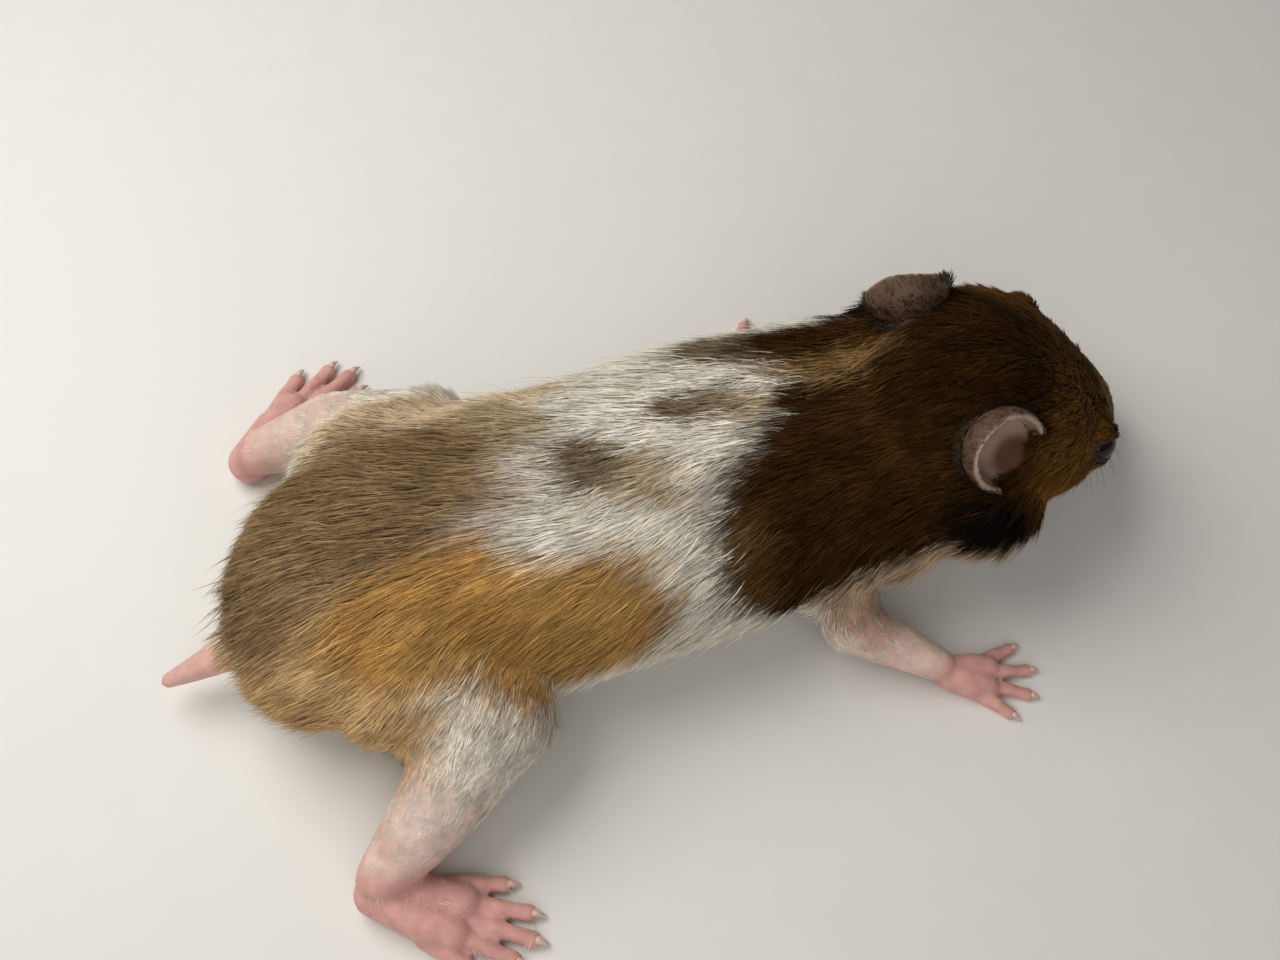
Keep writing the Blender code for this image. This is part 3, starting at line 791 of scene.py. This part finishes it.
class Grooming:
    """What the guides say at each point: way, style, share of each line, and place on an unwrap of the body.

    The unwrap rolls the skin off each line: across is the share of a turn round it, along the way down it.
    """

    def __init__(self, points, guides):
        chunks = np.array_split(points, len(points) // POINTS_AT_ONCE + 1)
        found = [np.concatenate(column) for column in zip(*(self.read(chunk, guides) for chunk in chunks))]
        self.ways, self.styles, self.shares, self.across, self.along, self.line = found

    @staticmethod
    def read(points, guides):
        away = np.linalg.norm(points[:, None] - guides[None, :, PLACE], axis=2)
        share = (guides[:, RADIUS] / np.maximum(away, GUIDE_NEAREST)) ** GUIDE_SHARPNESS
        share /= share.sum(axis=1, keepdims=True)
        nearest = guides[share.argmax(axis=1)]
        offset = points - nearest[:, PLACE]
        axis = normalized(nearest[:, HEADING])
        side = normalized(np.cross(axis, UP))
        rise = np.cross(side, axis)
        angle = np.arctan2((offset * rise).sum(axis=1), (offset * side).sum(axis=1))
        across = angle / (2 * math.pi) + 0.5
        along = nearest[:, ALONG] + (offset * axis).sum(axis=1)
        ways, styles = share @ guides[:, HEADING], share @ guides[:, STYLE]
        shares = share @ (guides[:, LINE, None] == np.arange(len(LINES)))
        return ways, styles, shares, across, along, nearest[:, LINE].astype(int)

    def share(self, *names):
        return self.shares[:, [LINES.index(name) for name in names]].sum(axis=1)


# ---- the coat: tufts of ten triangles, three-sided, thin, bent back along the body ----
COAT_SEED = 12
TUFTS_PER_PIECE = 19000
PATCH = 0.003
# bare spots: the radius without fur and the width of the edge with short fur
NOSE_BARE = (1.0, 0.9)
CANAL_BARE = (1.2, 0.8)
BARE_SHORTENING = 0.75
UNDERSIDE_FACING = -0.4
UNDERSIDE_HEIGHT = 1.6
UNDERSIDE_FUR = 0.2
ROOT_SUNK = 0.08
FLOOR_CLEAR = 0.04
# shape of a tuft, as shares of its length, rise or width, and tilt of its shading normals
BEND_AT = 0.42
BEND_RISE = 0.3
BEND_WIDTH = 0.8
TIP_RISE = 0.57
TUFT_RIDGE = 0.4
TUFT_ROUNDNESS = 0.4
LOWEST_FACING = -0.12
# how lengths and lifts vary, as shares, and turns in radians: SWIRL has the size and strength of its waves
LENGTH_SPREAD, LENGTH_LIMITS = 0.2, (0.45, 1.6)
LIFT_SPREAD, LIFT_LIMITS = 0.3, (0.3, 1.8)
TURN_SPREAD = 0.16
SWIRL = ((5.0, 0.22), (1.6, 0.2))
SWIRL_SEED = 20
STRAYS = 0.05
STRAY_LENGTH = 1.25
STRAY_LIFT = 1.5
LOCKS_PER_TUFT = 0.045
LOCK_PULL = 0.42
LOCK_PULL_AT_BEND = 0.35 * LOCK_PULL
LOCK_SHADE = 0.13
TUFT_SHADE = 0.1
SHADE_LIMITS = (0.5, 1.5)
TICKING = 0.4
COLOUR_JITTER = 0.45
ZONES = {"trunk": ["trunk"], "head": ["head"], "limbs": LINES[2:]}
# corners of a tuft: 0 to 2 round its root, 3 to 5 round its bend, 6 its tip
TUFT_FACES = ((0, 2, 1), (0, 1, 4, 3), (1, 2, 5, 4), (2, 0, 3, 5), (3, 4, 6), (4, 5, 6), (5, 3, 6))
TUFT_PATCH = ((0, 0), (1, 0), (0.5, 0), (0, 0.5), (1, 0.5), (0.5, 0.5), (0.5, 1))


def bare_share(points):
    """How bare the skin is at each point: 1 on the nose pad, in the ear canals and between the lids."""
    bare = [spot_share(points, NOSE_AT, *NOSE_BARE)]
    for side in (-1, 1):
        bare.append(spot_share(points, ear_frame(side) @ Vector(CANAL), *CANAL_BARE))
        bare.append(np.clip(1 - (lid_slit(points, side)[2] - LID_BARE) / LID_FADE, 0, 1))
    return np.max(bare, axis=0)


def scatter(mesh, guides, rng):
    """Roots strewn over the skin as densely as the styles say: places, normals and grooming."""
    mesh.calc_loop_triangles()
    corners = read_rows(mesh.loop_triangles, "vertices", int)
    points, normals = read_points(mesh)
    a, b, c = (points[corners[:, i]] for i in range(3))
    middle = (a + b + c) / 3
    facing = np.cross(b - a, c - a)
    area = np.linalg.norm(facing, axis=1) / 2
    groom = Grooming(middle, guides)
    facing = normalized(facing)
    underneath = (facing[:, 2] < UNDERSIDE_FACING) & (middle[:, 2] < UNDERSIDE_HEIGHT)
    furred = (bare_share(middle) < 1) & (ear_hollow(middle, facing)[0] < 0.5)
    wanted = area * groom.styles[:, 3] * furred * np.where(underneath, UNDERSIDE_FUR, 1)
    chosen = np.repeat(np.arange(len(area)), rng.poisson(wanted))
    u, v = rng.random(len(chosen)), rng.random(len(chosen))
    u, v = np.where(u + v > 1, 1 - u, u), np.where(u + v > 1, 1 - v, v)
    mix = np.stack([1 - u - v, u, v], axis=1)
    roots = (points[corners[chosen]] * mix[:, :, None]).sum(axis=1)
    upright = normalized((normals[corners[chosen]] * mix[:, :, None]).sum(axis=1))
    return roots, upright, Grooming(roots, guides)


def lock_centres(roots, rng):
    """For each tuft, the tuft in the middle of its lock."""
    chosen = rng.choice(len(roots), max(1, round(len(roots) * LOCKS_PER_TUFT)), replace=False)
    tree = KDTree(len(chosen))
    for number, root in zip(chosen, roots[chosen]):
        tree.insert(root, int(number))
    tree.balance()
    return np.array([tree.find(root)[1] for root in roots])


def varied(values, spread, limits, rng):
    return values * np.clip(rng.normal(1, spread, len(values)), *limits)


def tufts(roots, normals, groom, rng):
    """The tufts' corners in millimetres, shading normals and colours, as arrays of seven rows a tuft."""
    count = len(roots)
    length, lift, width, _ = groom.styles.T
    stray = rng.random(count) < STRAYS
    length = varied(length, LENGTH_SPREAD, LENGTH_LIMITS, rng) * np.where(stray, STRAY_LENGTH, 1)
    length *= 1 - BARE_SHORTENING * bare_share(roots)
    lift = varied(lift, LIFT_SPREAD, LIFT_LIMITS, rng) * np.where(stray, STRAY_LIFT, 1)
    ways = normalized(groom.ways - normals * (groom.ways * normals).sum(axis=1, keepdims=True))
    aside = np.cross(normals, ways)
    turn = rng.normal(0, TURN_SPREAD, count)
    for seed, (size, strength) in enumerate(SWIRL):
        turn += strength * lattice_noise(roots, size, seed + SWIRL_SEED)
    ways = ways * np.cos(turn)[:, None] + aside * np.sin(turn)[:, None]
    reach, height = ways * length[:, None], normals * (lift * length)[:, None]
    bend = roots + BEND_AT * reach + BEND_RISE * height
    tip = roots + reach + TIP_RISE * height
    centre = lock_centres(roots, rng)
    tip += LOCK_PULL * (tip[centre] - tip)
    bend += LOCK_PULL_AT_BEND * (bend[centre] - bend)
    aside = normalized(np.cross(normals, tip - roots))
    rings, facings = [], []
    for place, size in ((roots - ROOT_SUNK * normals, 1.0), (bend, BEND_WIDTH)):
        half = aside * (width * size / 2)[:, None]
        ridge = normals * (width * size * TUFT_RIDGE)[:, None]
        rings += [place - half, place + half, place + ridge]
        facings += [normals - TUFT_ROUNDNESS * aside, normals + TUFT_ROUNDNESS * aside, normals]
    points = np.stack([*rings, tip], axis=1)
    facings = np.stack([*facings, normals], axis=1).reshape(-1, 3)
    facings[:, 2] = np.maximum(facings[:, 2], LOWEST_FACING)
    facings = normalized(facings)
    points[:, :, 2] = np.maximum(points[:, :, 2], FLOOR_CLEAR)
    seen = (bend + tip) / 2 + rng.normal(0, COLOUR_JITTER, (count, 3))
    # the root ring takes the root colour, darker partly as painted shade deep in the coat
    colours = markings(seen).reshape(count, 3, 3)
    plain = rng.random(count) < TICKING
    colours[plain, 2] = colours[plain, 1]
    shade = 1 + LOCK_SHADE * rng.standard_normal(count)[centre] + TUFT_SHADE * rng.standard_normal(count)
    colours *= np.clip(shade, *SHADE_LIMITS)[:, None, None]
    return points, facings.reshape(points.shape), np.repeat(colours, (3, 3, 1), axis=1)


def colour_layer(mesh, colours):
    layer = mesh.color_attributes.new("shade", "FLOAT_COLOR", "POINT")
    rows = np.hstack([colours, np.ones((len(colours), 1))])
    layer.data.foreach_set("color", rows.ravel().astype(np.float32))


def tuft_mesh(name, points, facings, colours, unwrap):
    """The tufts as a mesh, shaded softly by the given normals, with a small patch each on the bake's map."""
    count = len(points)
    sizes = [len(face) for face in TUFT_FACES]
    corners = np.concatenate(TUFT_FACES)
    loops = (corners + len(TUFT_PATCH) * np.arange(count)[:, None]).ravel()
    starts = (np.cumsum([0, *sizes[:-1]]) + len(corners) * np.arange(count)[:, None]).ravel()
    mesh = bpy.data.meshes.new(name)
    mesh.vertices.add(points.size // 3)
    mesh.vertices.foreach_set("co", ((points - BELLY_MIDDLE) * MM).ravel())
    mesh.loops.add(len(loops))
    mesh.loops.foreach_set("vertex_index", loops)
    mesh.polygons.add(len(starts))
    mesh.polygons.foreach_set("loop_start", starts)
    mesh.update(calc_edges=True)
    spots = unwrap[:, None] * (1 - PATCH) + PATCH * np.array(TUFT_PATCH)[corners]
    mesh.uv_layers.new(name="OFBake").data.foreach_set("uv", spots.ravel())
    colour_layer(mesh, colours.reshape(-1, 3))
    mesh.shade_smooth()
    mesh.normals_split_custom_set_from_vertices(facings.reshape(-1, 3))
    return mesh


def coat_pieces(skin, guides):
    """The coat as (name, mesh): each zone's tufts in order along its lines, in pieces of even size."""
    rng = np.random.default_rng(COAT_SEED)
    roots, normals, groom = scatter(skin, guides, rng)
    points, facings, colours = tufts(roots, normals, groom, rng)
    found = []
    for zone, lines in ZONES.items():
        column = np.full(len(LINES), -1)
        column[[LINES.index(line) for line in lines]] = np.arange(len(lines))
        own = np.flatnonzero(column[groom.line] >= 0)
        own = own[np.argsort(groom.along[own], kind="stable")]
        pieces = math.ceil(len(own) / TUFTS_PER_PIECE)
        for number, part in enumerate(np.array_split(own, pieces)):
            along = groom.along[part]
            down = (along - along.min()) / (along.max() - along.min())
            across = (column[groom.line[part]] + groom.across[part]) / len(lines)
            name = f"coat_{zone}_{number + 1}"
            unwrap = np.stack([across, down], axis=1)
            found.append((name, tuft_mesh(name, points[part], facings[part], colours[part], unwrap)))
    return found


# ---- eyes, claws and whiskers ----
EYE_POINTS = (48, 32)
CORNEA_BULGE = 0.06
CORNEA_SHARPNESS = 6
CLAW_STEPS = 6
CLAW_SIDES = 8
CLAW_LEAST = 0.02
CLAW_TAPER = 1.5
# as shares of the toe's radius: start past its tip, first rise, arch and drop, thickness
CLAW_START = 0.5
CLAW_RISE = (0.35, 0.3, 0.95)
CLAW_THICKNESS = 0.45
WHISKER_ROWS = 4
WHISKERS_IN_ROW = 4
WHISKER_LENGTH = (2.6, 5.0)
WHISKER_RADIUS = 0.024
WHISKER_TAPER = 0.8
WHISKER_STEPS = 8
WHISKER_SIDES = 5
# places on the pad, as shares of its size: the first whisker ahead and up, gap to the next, shift of a row
WHISKER_FIRST = (0.75, 0.55)
WHISKER_GAP = 0.42
WHISKER_SHIFT = 0.08
WHISKER_ASIDE = 0.15
WHISKER_SUNK = 0.9
# headings ahead, aside and up: the foremost's, how far the next ones turn back, and the bend to the tip
WHISKER_START = (0.35, 0.9, 0.3)
WHISKER_FAN = 0.25
WHISKER_SWEEP = (-0.8, 0.1, -0.15)
WHISKER_CURL = 0.35


def add_horn(bm, points, radii, sides):
    """A round rod along the points, with those radii, that tapers to the last point."""
    rings = []
    for before, point, after, radius in zip(points[:1] + points, points, points[1:], radii):
        ahead = (after - before).normalized()
        aside = ahead.cross(Vector(UP)).normalized()
        rise = aside.cross(ahead)
        ring = []
        for i in range(sides):
            angle = 2 * math.pi * i / sides
            ring.append(bm.verts.new(point + radius * (aside * math.cos(angle) + rise * math.sin(angle))))
        rings.append(ring)
    join_rings(bm, rings)
    tip = bm.verts.new(points[-1])
    for i in range(sides):
        bm.faces.new((rings[-1][i], rings[-1][(i + 1) % sides], tip))
    bm.faces.new(reversed(rings[0]))


def finished(name, bm, in_metres=False):
    """The bmesh as an object of the scene, in metres, smooth, facing out."""
    bmesh.ops.recalc_face_normals(bm, faces=bm.faces)
    mesh = bpy.data.meshes.new(name)
    bm.to_mesh(mesh)
    bm.free()
    if not in_metres:
        mesh.transform(WORLD)
    mesh.shade_smooth()
    return placed(name, mesh)


def eyeball(side, name):
    """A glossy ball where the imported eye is, with a cornea that stands a little proud of it."""
    low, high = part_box(name)
    centre, radius = (low + high) / 2, (high.z - low.z) / 2
    out = (HEAD.to_3x3() @ mirrored(LID_WAY, side)).normalized()
    bm = bmesh.new()
    bmesh.ops.create_uvsphere(bm, u_segments=EYE_POINTS[0], v_segments=EYE_POINTS[1], radius=radius)
    for vert in bm.verts:
        ahead = max(0, vert.co.normalized().dot(out))
        vert.co *= 1 + CORNEA_BULGE * ahead**CORNEA_SHARPNESS
        vert.co += centre
    return finished(name + "_ball", bm, in_metres=True)


def claws():
    """A curved claw at the end of every toe, out of the toe's tip and down to the floor."""
    bm = bmesh.new()
    start, arch, drop = CLAW_RISE
    for name, (_, heel, yaw) in LEGS.items():
        toes, (_, radius, length) = foot_of(name)
        frame = frame_at((*heel, -FOOT_SUNK), yaw)
        for toe in toes:
            _, _, tip, way = toe_points(toe, radius)
            points, radii = [], []
            for i in range(CLAW_STEPS + 1):
                share = i / CLAW_STEPS
                rise = Vector((0, 0, radius * (start + arch * share - drop * share**2)))
                points.append(frame @ (tip + way * (radius * CLAW_START + length * share) + rise))
                radii.append(radius * CLAW_THICKNESS * (1 - share**CLAW_TAPER) + CLAW_LEAST)
            add_horn(bm, points, radii, CLAW_SIDES)
    return finished("claws", bm)


def whiskers():
    """Rows of fine whiskers from each side of the muzzle, longer towards the back."""
    bm = bmesh.new()
    turn = HEAD.to_3x3()
    (centre, radii), (shortest, longest) = WHISKER_PAD, WHISKER_LENGTH
    for side, row, place in itertools.product((-1, 1), range(WHISKER_ROWS), range(WHISKERS_IN_ROW)):
        ahead = WHISKER_FIRST[0] - WHISKER_GAP * place - WHISKER_SHIFT * row
        rise = WHISKER_FIRST[1] - WHISKER_GAP * row
        out = Vector((ahead, math.sqrt(max(WHISKER_ASIDE, 1 - ahead**2 - rise**2)), rise))
        root = HEAD @ mirrored([c + r * WHISKER_SUNK * o for c, r, o in zip(centre, radii, out)], side)
        behind = (place + row / 2) / (WHISKERS_IN_ROW + WHISKER_ROWS / 2)
        length = shortest + (longest - shortest) * behind
        forward, aside, up = WHISKER_START
        start = turn @ mirrored((forward - WHISKER_FAN * place, aside, up * rise), side).normalized()
        sweep = turn @ mirrored(WHISKER_SWEEP, side)
        points, sizes = [], []
        for i in range(WHISKER_STEPS + 1):
            share = i / WHISKER_STEPS
            points.append(root + length * (start * share + sweep * WHISKER_CURL * share**2))
            sizes.append(WHISKER_RADIUS * (1 - WHISKER_TAPER * share))
        add_horn(bm, points, sizes, WHISKER_SIDES)
    return finished("whiskers", bm)


# ---- the skin's colours ----


def skin_colours(points, normals, guides):
    """The roots' colour of the coat's markings, darker partly as painted shade deep in the coat, and the
    skin's own where it is bare, with painted shade low in the ears' hollows, in the ear openings and in the
    nostrils.
    """
    groom = Grooming(points, guides)
    # the roots' colour, darker partly as painted shade deep in the coat
    colours = markings(points)[:, :3]
    # where painted shade darkens the nostrils and the ear openings
    canal_shade, nostrils = np.zeros(len(points)), np.zeros(len(points))
    for side in (-1, 1):
        nostrils += np.exp(-((path_distance(points, head_path(NOSTRIL, side)) / NOSTRIL_GROOVE[0]) ** 2))
        canal_shade = np.maximum(canal_shade, spot_share(on_axes(points, ear_frame(side)), CANAL, *CANAL_SHADE_SPOT))
    ears = np.clip(groom.share(*EARS) * EAR_BARE, 0, 1)
    hollow, height = ear_hollow(points, normals)
    hollow *= ears
    rim = np.clip((height - RIM_FROM) / RIM_FROM, 0, 1)
    for share, colour in (
        (np.clip(groom.share("tail") * TAIL_BARE, 0, 1), SKIN_PINK),
        (LEG_PINKNESS * groom.share(*LEGS), SKIN_PINK),
        (ears, SKIN_EAR_BACK),
        # painted shade low in each ear's hollow, with the ear's own colour above it towards the rim
        (hollow, SKIN_EAR_HOLLOW_SHADE),
        (hollow * rim, SKIN_EAR),
        # painted shade in the ear openings
        (canal_shade, SKIN_OPENING_SHADE),
        (np.clip(groom.share(*FEET) * FOOT_BARE, 0, 1), SKIN_TOE),
        (spot_share(points, NOSE_AT, *NOSE_PINK), SKIN_PINK),
        # painted shade in the nostrils
        (NOSTRIL_SHADE * np.minimum(nostrils, 1), SKIN_OPENING_SHADE),
    ):
        colours += share[:, None] * (np.array(colour) - colours)
    return colours


# ---- materials: gloss, size of the noise, its tones from dark to light, roughness from low to high ----
FUR = (0.025, 0.35, (0.86, 1.12), (0.7, 0.85))
SKIN = (0.28, 1.1, (0.85, 1.12), (0.42, 0.6))
EYE = (0.3, 0.6, (0.8, 1.15), (0.05, 0.09))
HORN = (0.5, 0.3, (0.8, 1.15), (0.3, 0.45))
CARD = (0.5, 3.0, (0.985, 1.0), (0.5, 0.6))
EYE_COLOUR = (0.008, 0.005, 0.004)
CLAW_COLOUR = (0.72, 0.50, 0.42)
WHISKER_COLOUR = (0.10, 0.07, 0.05)
CARD_COLOUR = (0.76, 0.745, 0.71)
SHEEN = {"Sheen Weight": 0.015, "Sheen Tint": (1.0, 0.85, 0.65, 1.0)}
BLOOD = {"Subsurface Weight": 0.3, "Subsurface Radius": (1.0, 0.35, 0.22), "Subsurface Scale": 0.5 * MM}
# depth and strength of the fine relief, and size and detail of the skin's wrinkles
FUR_RELIEF = (0.02, 0.3)
SKIN_RELIEF = (0.09, 0.6)
NOISE_DETAIL = 4.0
WRINKLES = (0.22, 6.0)
NOISE_REACH = (0.3, 0.7)


def set_inputs(node, values):
    for name, value in values.items():
        node.inputs[name].default_value = value


def noise_value(tree, size, detail=NOISE_DETAIL):
    """Noise whose features are about size millimetres, on the body's own coordinates."""
    place = tree.nodes.new("ShaderNodeTexCoord")
    noise = tree.nodes.new("ShaderNodeTexNoise")
    set_inputs(noise, {"Scale": 1 / (size * MM), "Detail": detail})
    tree.links.new(place.outputs["Object"], noise.inputs["Vector"])
    return noise.outputs["Fac"]


def ranged(tree, value, low, high):
    reach = tree.nodes.new("ShaderNodeMapRange")
    least, most = NOISE_REACH
    set_inputs(reach, {"From Min": least, "From Max": most, "To Min": low, "To Max": high})
    tree.links.new(value, reach.inputs["Value"])
    return reach.outputs["Result"]


def new_material(name, look, colour=None, extra=None, relief=None, wrinkles=None):
    """A material that noise makes lighter and darker, of the colour given or else of the mesh's shades.

    The relief, a depth and a strength, follows the same noise or else the wrinkles' own.
    """
    gloss, size, tones, roughness = look
    made = bpy.data.materials.new(name)
    made.use_nodes = True
    tree = made.node_tree
    shader = tree.nodes["Principled BSDF"]
    set_inputs(shader, {"Specular IOR Level": gloss, **(extra or {})})
    noise = noise_value(tree, size)
    tint = tree.nodes.new("ShaderNodeMix")
    tint.data_type = "RGBA"
    tint.blend_type = "MULTIPLY"
    tint.inputs["Factor"].default_value = 1
    if colour:
        tint.inputs["A"].default_value = (*colour, 1)
    else:
        shade = tree.nodes.new("ShaderNodeAttribute")
        shade.attribute_name = "shade"
        tree.links.new(shade.outputs["Color"], tint.inputs["A"])
    tree.links.new(ranged(tree, noise, *tones), tint.inputs["B"])
    tree.links.new(tint.outputs["Result"], shader.inputs["Base Color"])
    tree.links.new(ranged(tree, noise, *roughness), shader.inputs["Roughness"])
    if relief:
        bump = tree.nodes.new("ShaderNodeBump")
        set_inputs(bump, {"Distance": relief[0] * MM, "Strength": relief[1]})
        tree.links.new(noise_value(tree, *wrinkles) if wrinkles else noise, bump.inputs["Height"])
        tree.links.new(bump.outputs["Normal"], shader.inputs["Normal"])
    return made


# ---- floor, light and camera, in metres ----
FLOOR_SIZE = 1.2
FLOOR_CELLS = 8
LOOK_AT = (0.00702, 0.00611, 0.0)
CAMERA_AZIMUTH = -16.1
CAMERA_ELEVATION = 62
CAMERA_DISTANCE = 0.118
CAMERA_ANGLE = 45
NEAREST_SEEN = 0.005
AMBIENT = ((0.97, 0.98, 1.0), 0.12)
# lights: place, size, power and colour
LIGHTS = {
    "key": ((-0.06, 0.06, 0.13), 0.13, 0.215, (1.0, 0.98, 0.93)),
    "fill": ((-0.045, -0.18, 0.15), 0.28, 0.27, (1.0, 0.98, 0.94)),
}


def way_from(azimuth, elevation):
    turn, tilt = math.radians(azimuth), math.radians(elevation)
    return Vector((math.sin(turn) * math.cos(tilt), -math.cos(turn) * math.cos(tilt), math.sin(tilt)))


def stage():
    bm = bmesh.new()
    bmesh.ops.create_grid(bm, x_segments=FLOOR_CELLS, y_segments=FLOOR_CELLS, size=FLOOR_SIZE / 2)
    floor = finished("floor", bm, in_metres=True)
    floor.data.materials.append(new_material("floor_card", CARD, CARD_COLOUR))
    for name, (place, size, power, colour) in LIGHTS.items():
        lamp = bpy.data.lights.new(name, "AREA")
        lamp.size, lamp.energy, lamp.color = size, power, colour
        light = placed(name, lamp)
        light.location = place
        light.rotation_euler = (Vector(place) - Vector(LOOK_AT)).to_track_quat("Z", "Y").to_euler()
    world = bpy.data.worlds.new("studio")
    world.use_nodes = True
    set_inputs(world.node_tree.nodes["Background"], {"Color": (*AMBIENT[0], 1), "Strength": AMBIENT[1]})
    bpy.context.scene.world = world
    bpy.context.scene.view_settings.view_transform = "Standard"
    lens = bpy.data.cameras.new("camera")
    lens.angle = math.radians(CAMERA_ANGLE)
    lens.clip_start = NEAREST_SEEN
    camera = placed("camera", lens)
    back = way_from(CAMERA_AZIMUTH, CAMERA_ELEVATION)
    camera.location = Vector(LOOK_AT) + back * CAMERA_DISTANCE
    camera.rotation_euler = back.to_track_quat("Z", "Y").to_euler()
    bpy.context.scene.camera = camera


# ---- the model, each piece on the body root ----

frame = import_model()

guides = all_guides()
skin = shaped_skin()
for name, mesh in coat_pieces(skin, guides):
    piece = placed(name, mesh)
    mesh.materials.append(new_material(name, FUR, extra=SHEEN, relief=FUR_RELIEF))
    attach(piece, "root")

colour_layer(skin, skin_colours(*read_points(skin), guides))
skin.transform(WORLD)
skin.shade_smooth()
skin.materials.append(new_material("skin", SKIN, None, BLOOD, SKIN_RELIEF, WRINKLES))
body = placed("skin", skin)
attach(body, "root")
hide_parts(*(node for node in frame["nodes"] if not node.startswith("eye_")))

for side, node in ((-1, "eye_right"), (1, "eye_left")):
    eye = eyeball(side, node)
    eye.data.materials.append(new_material(node + "_gloss", EYE, EYE_COLOUR))
    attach(eye, "root")
    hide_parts(node)

for piece, colour in ((claws(), CLAW_COLOUR), (whiskers(), WHISKER_COLOUR)):
    piece.data.materials.append(new_material(piece.name + "_horn", HORN, colour))
    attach(piece, "root")

stage()
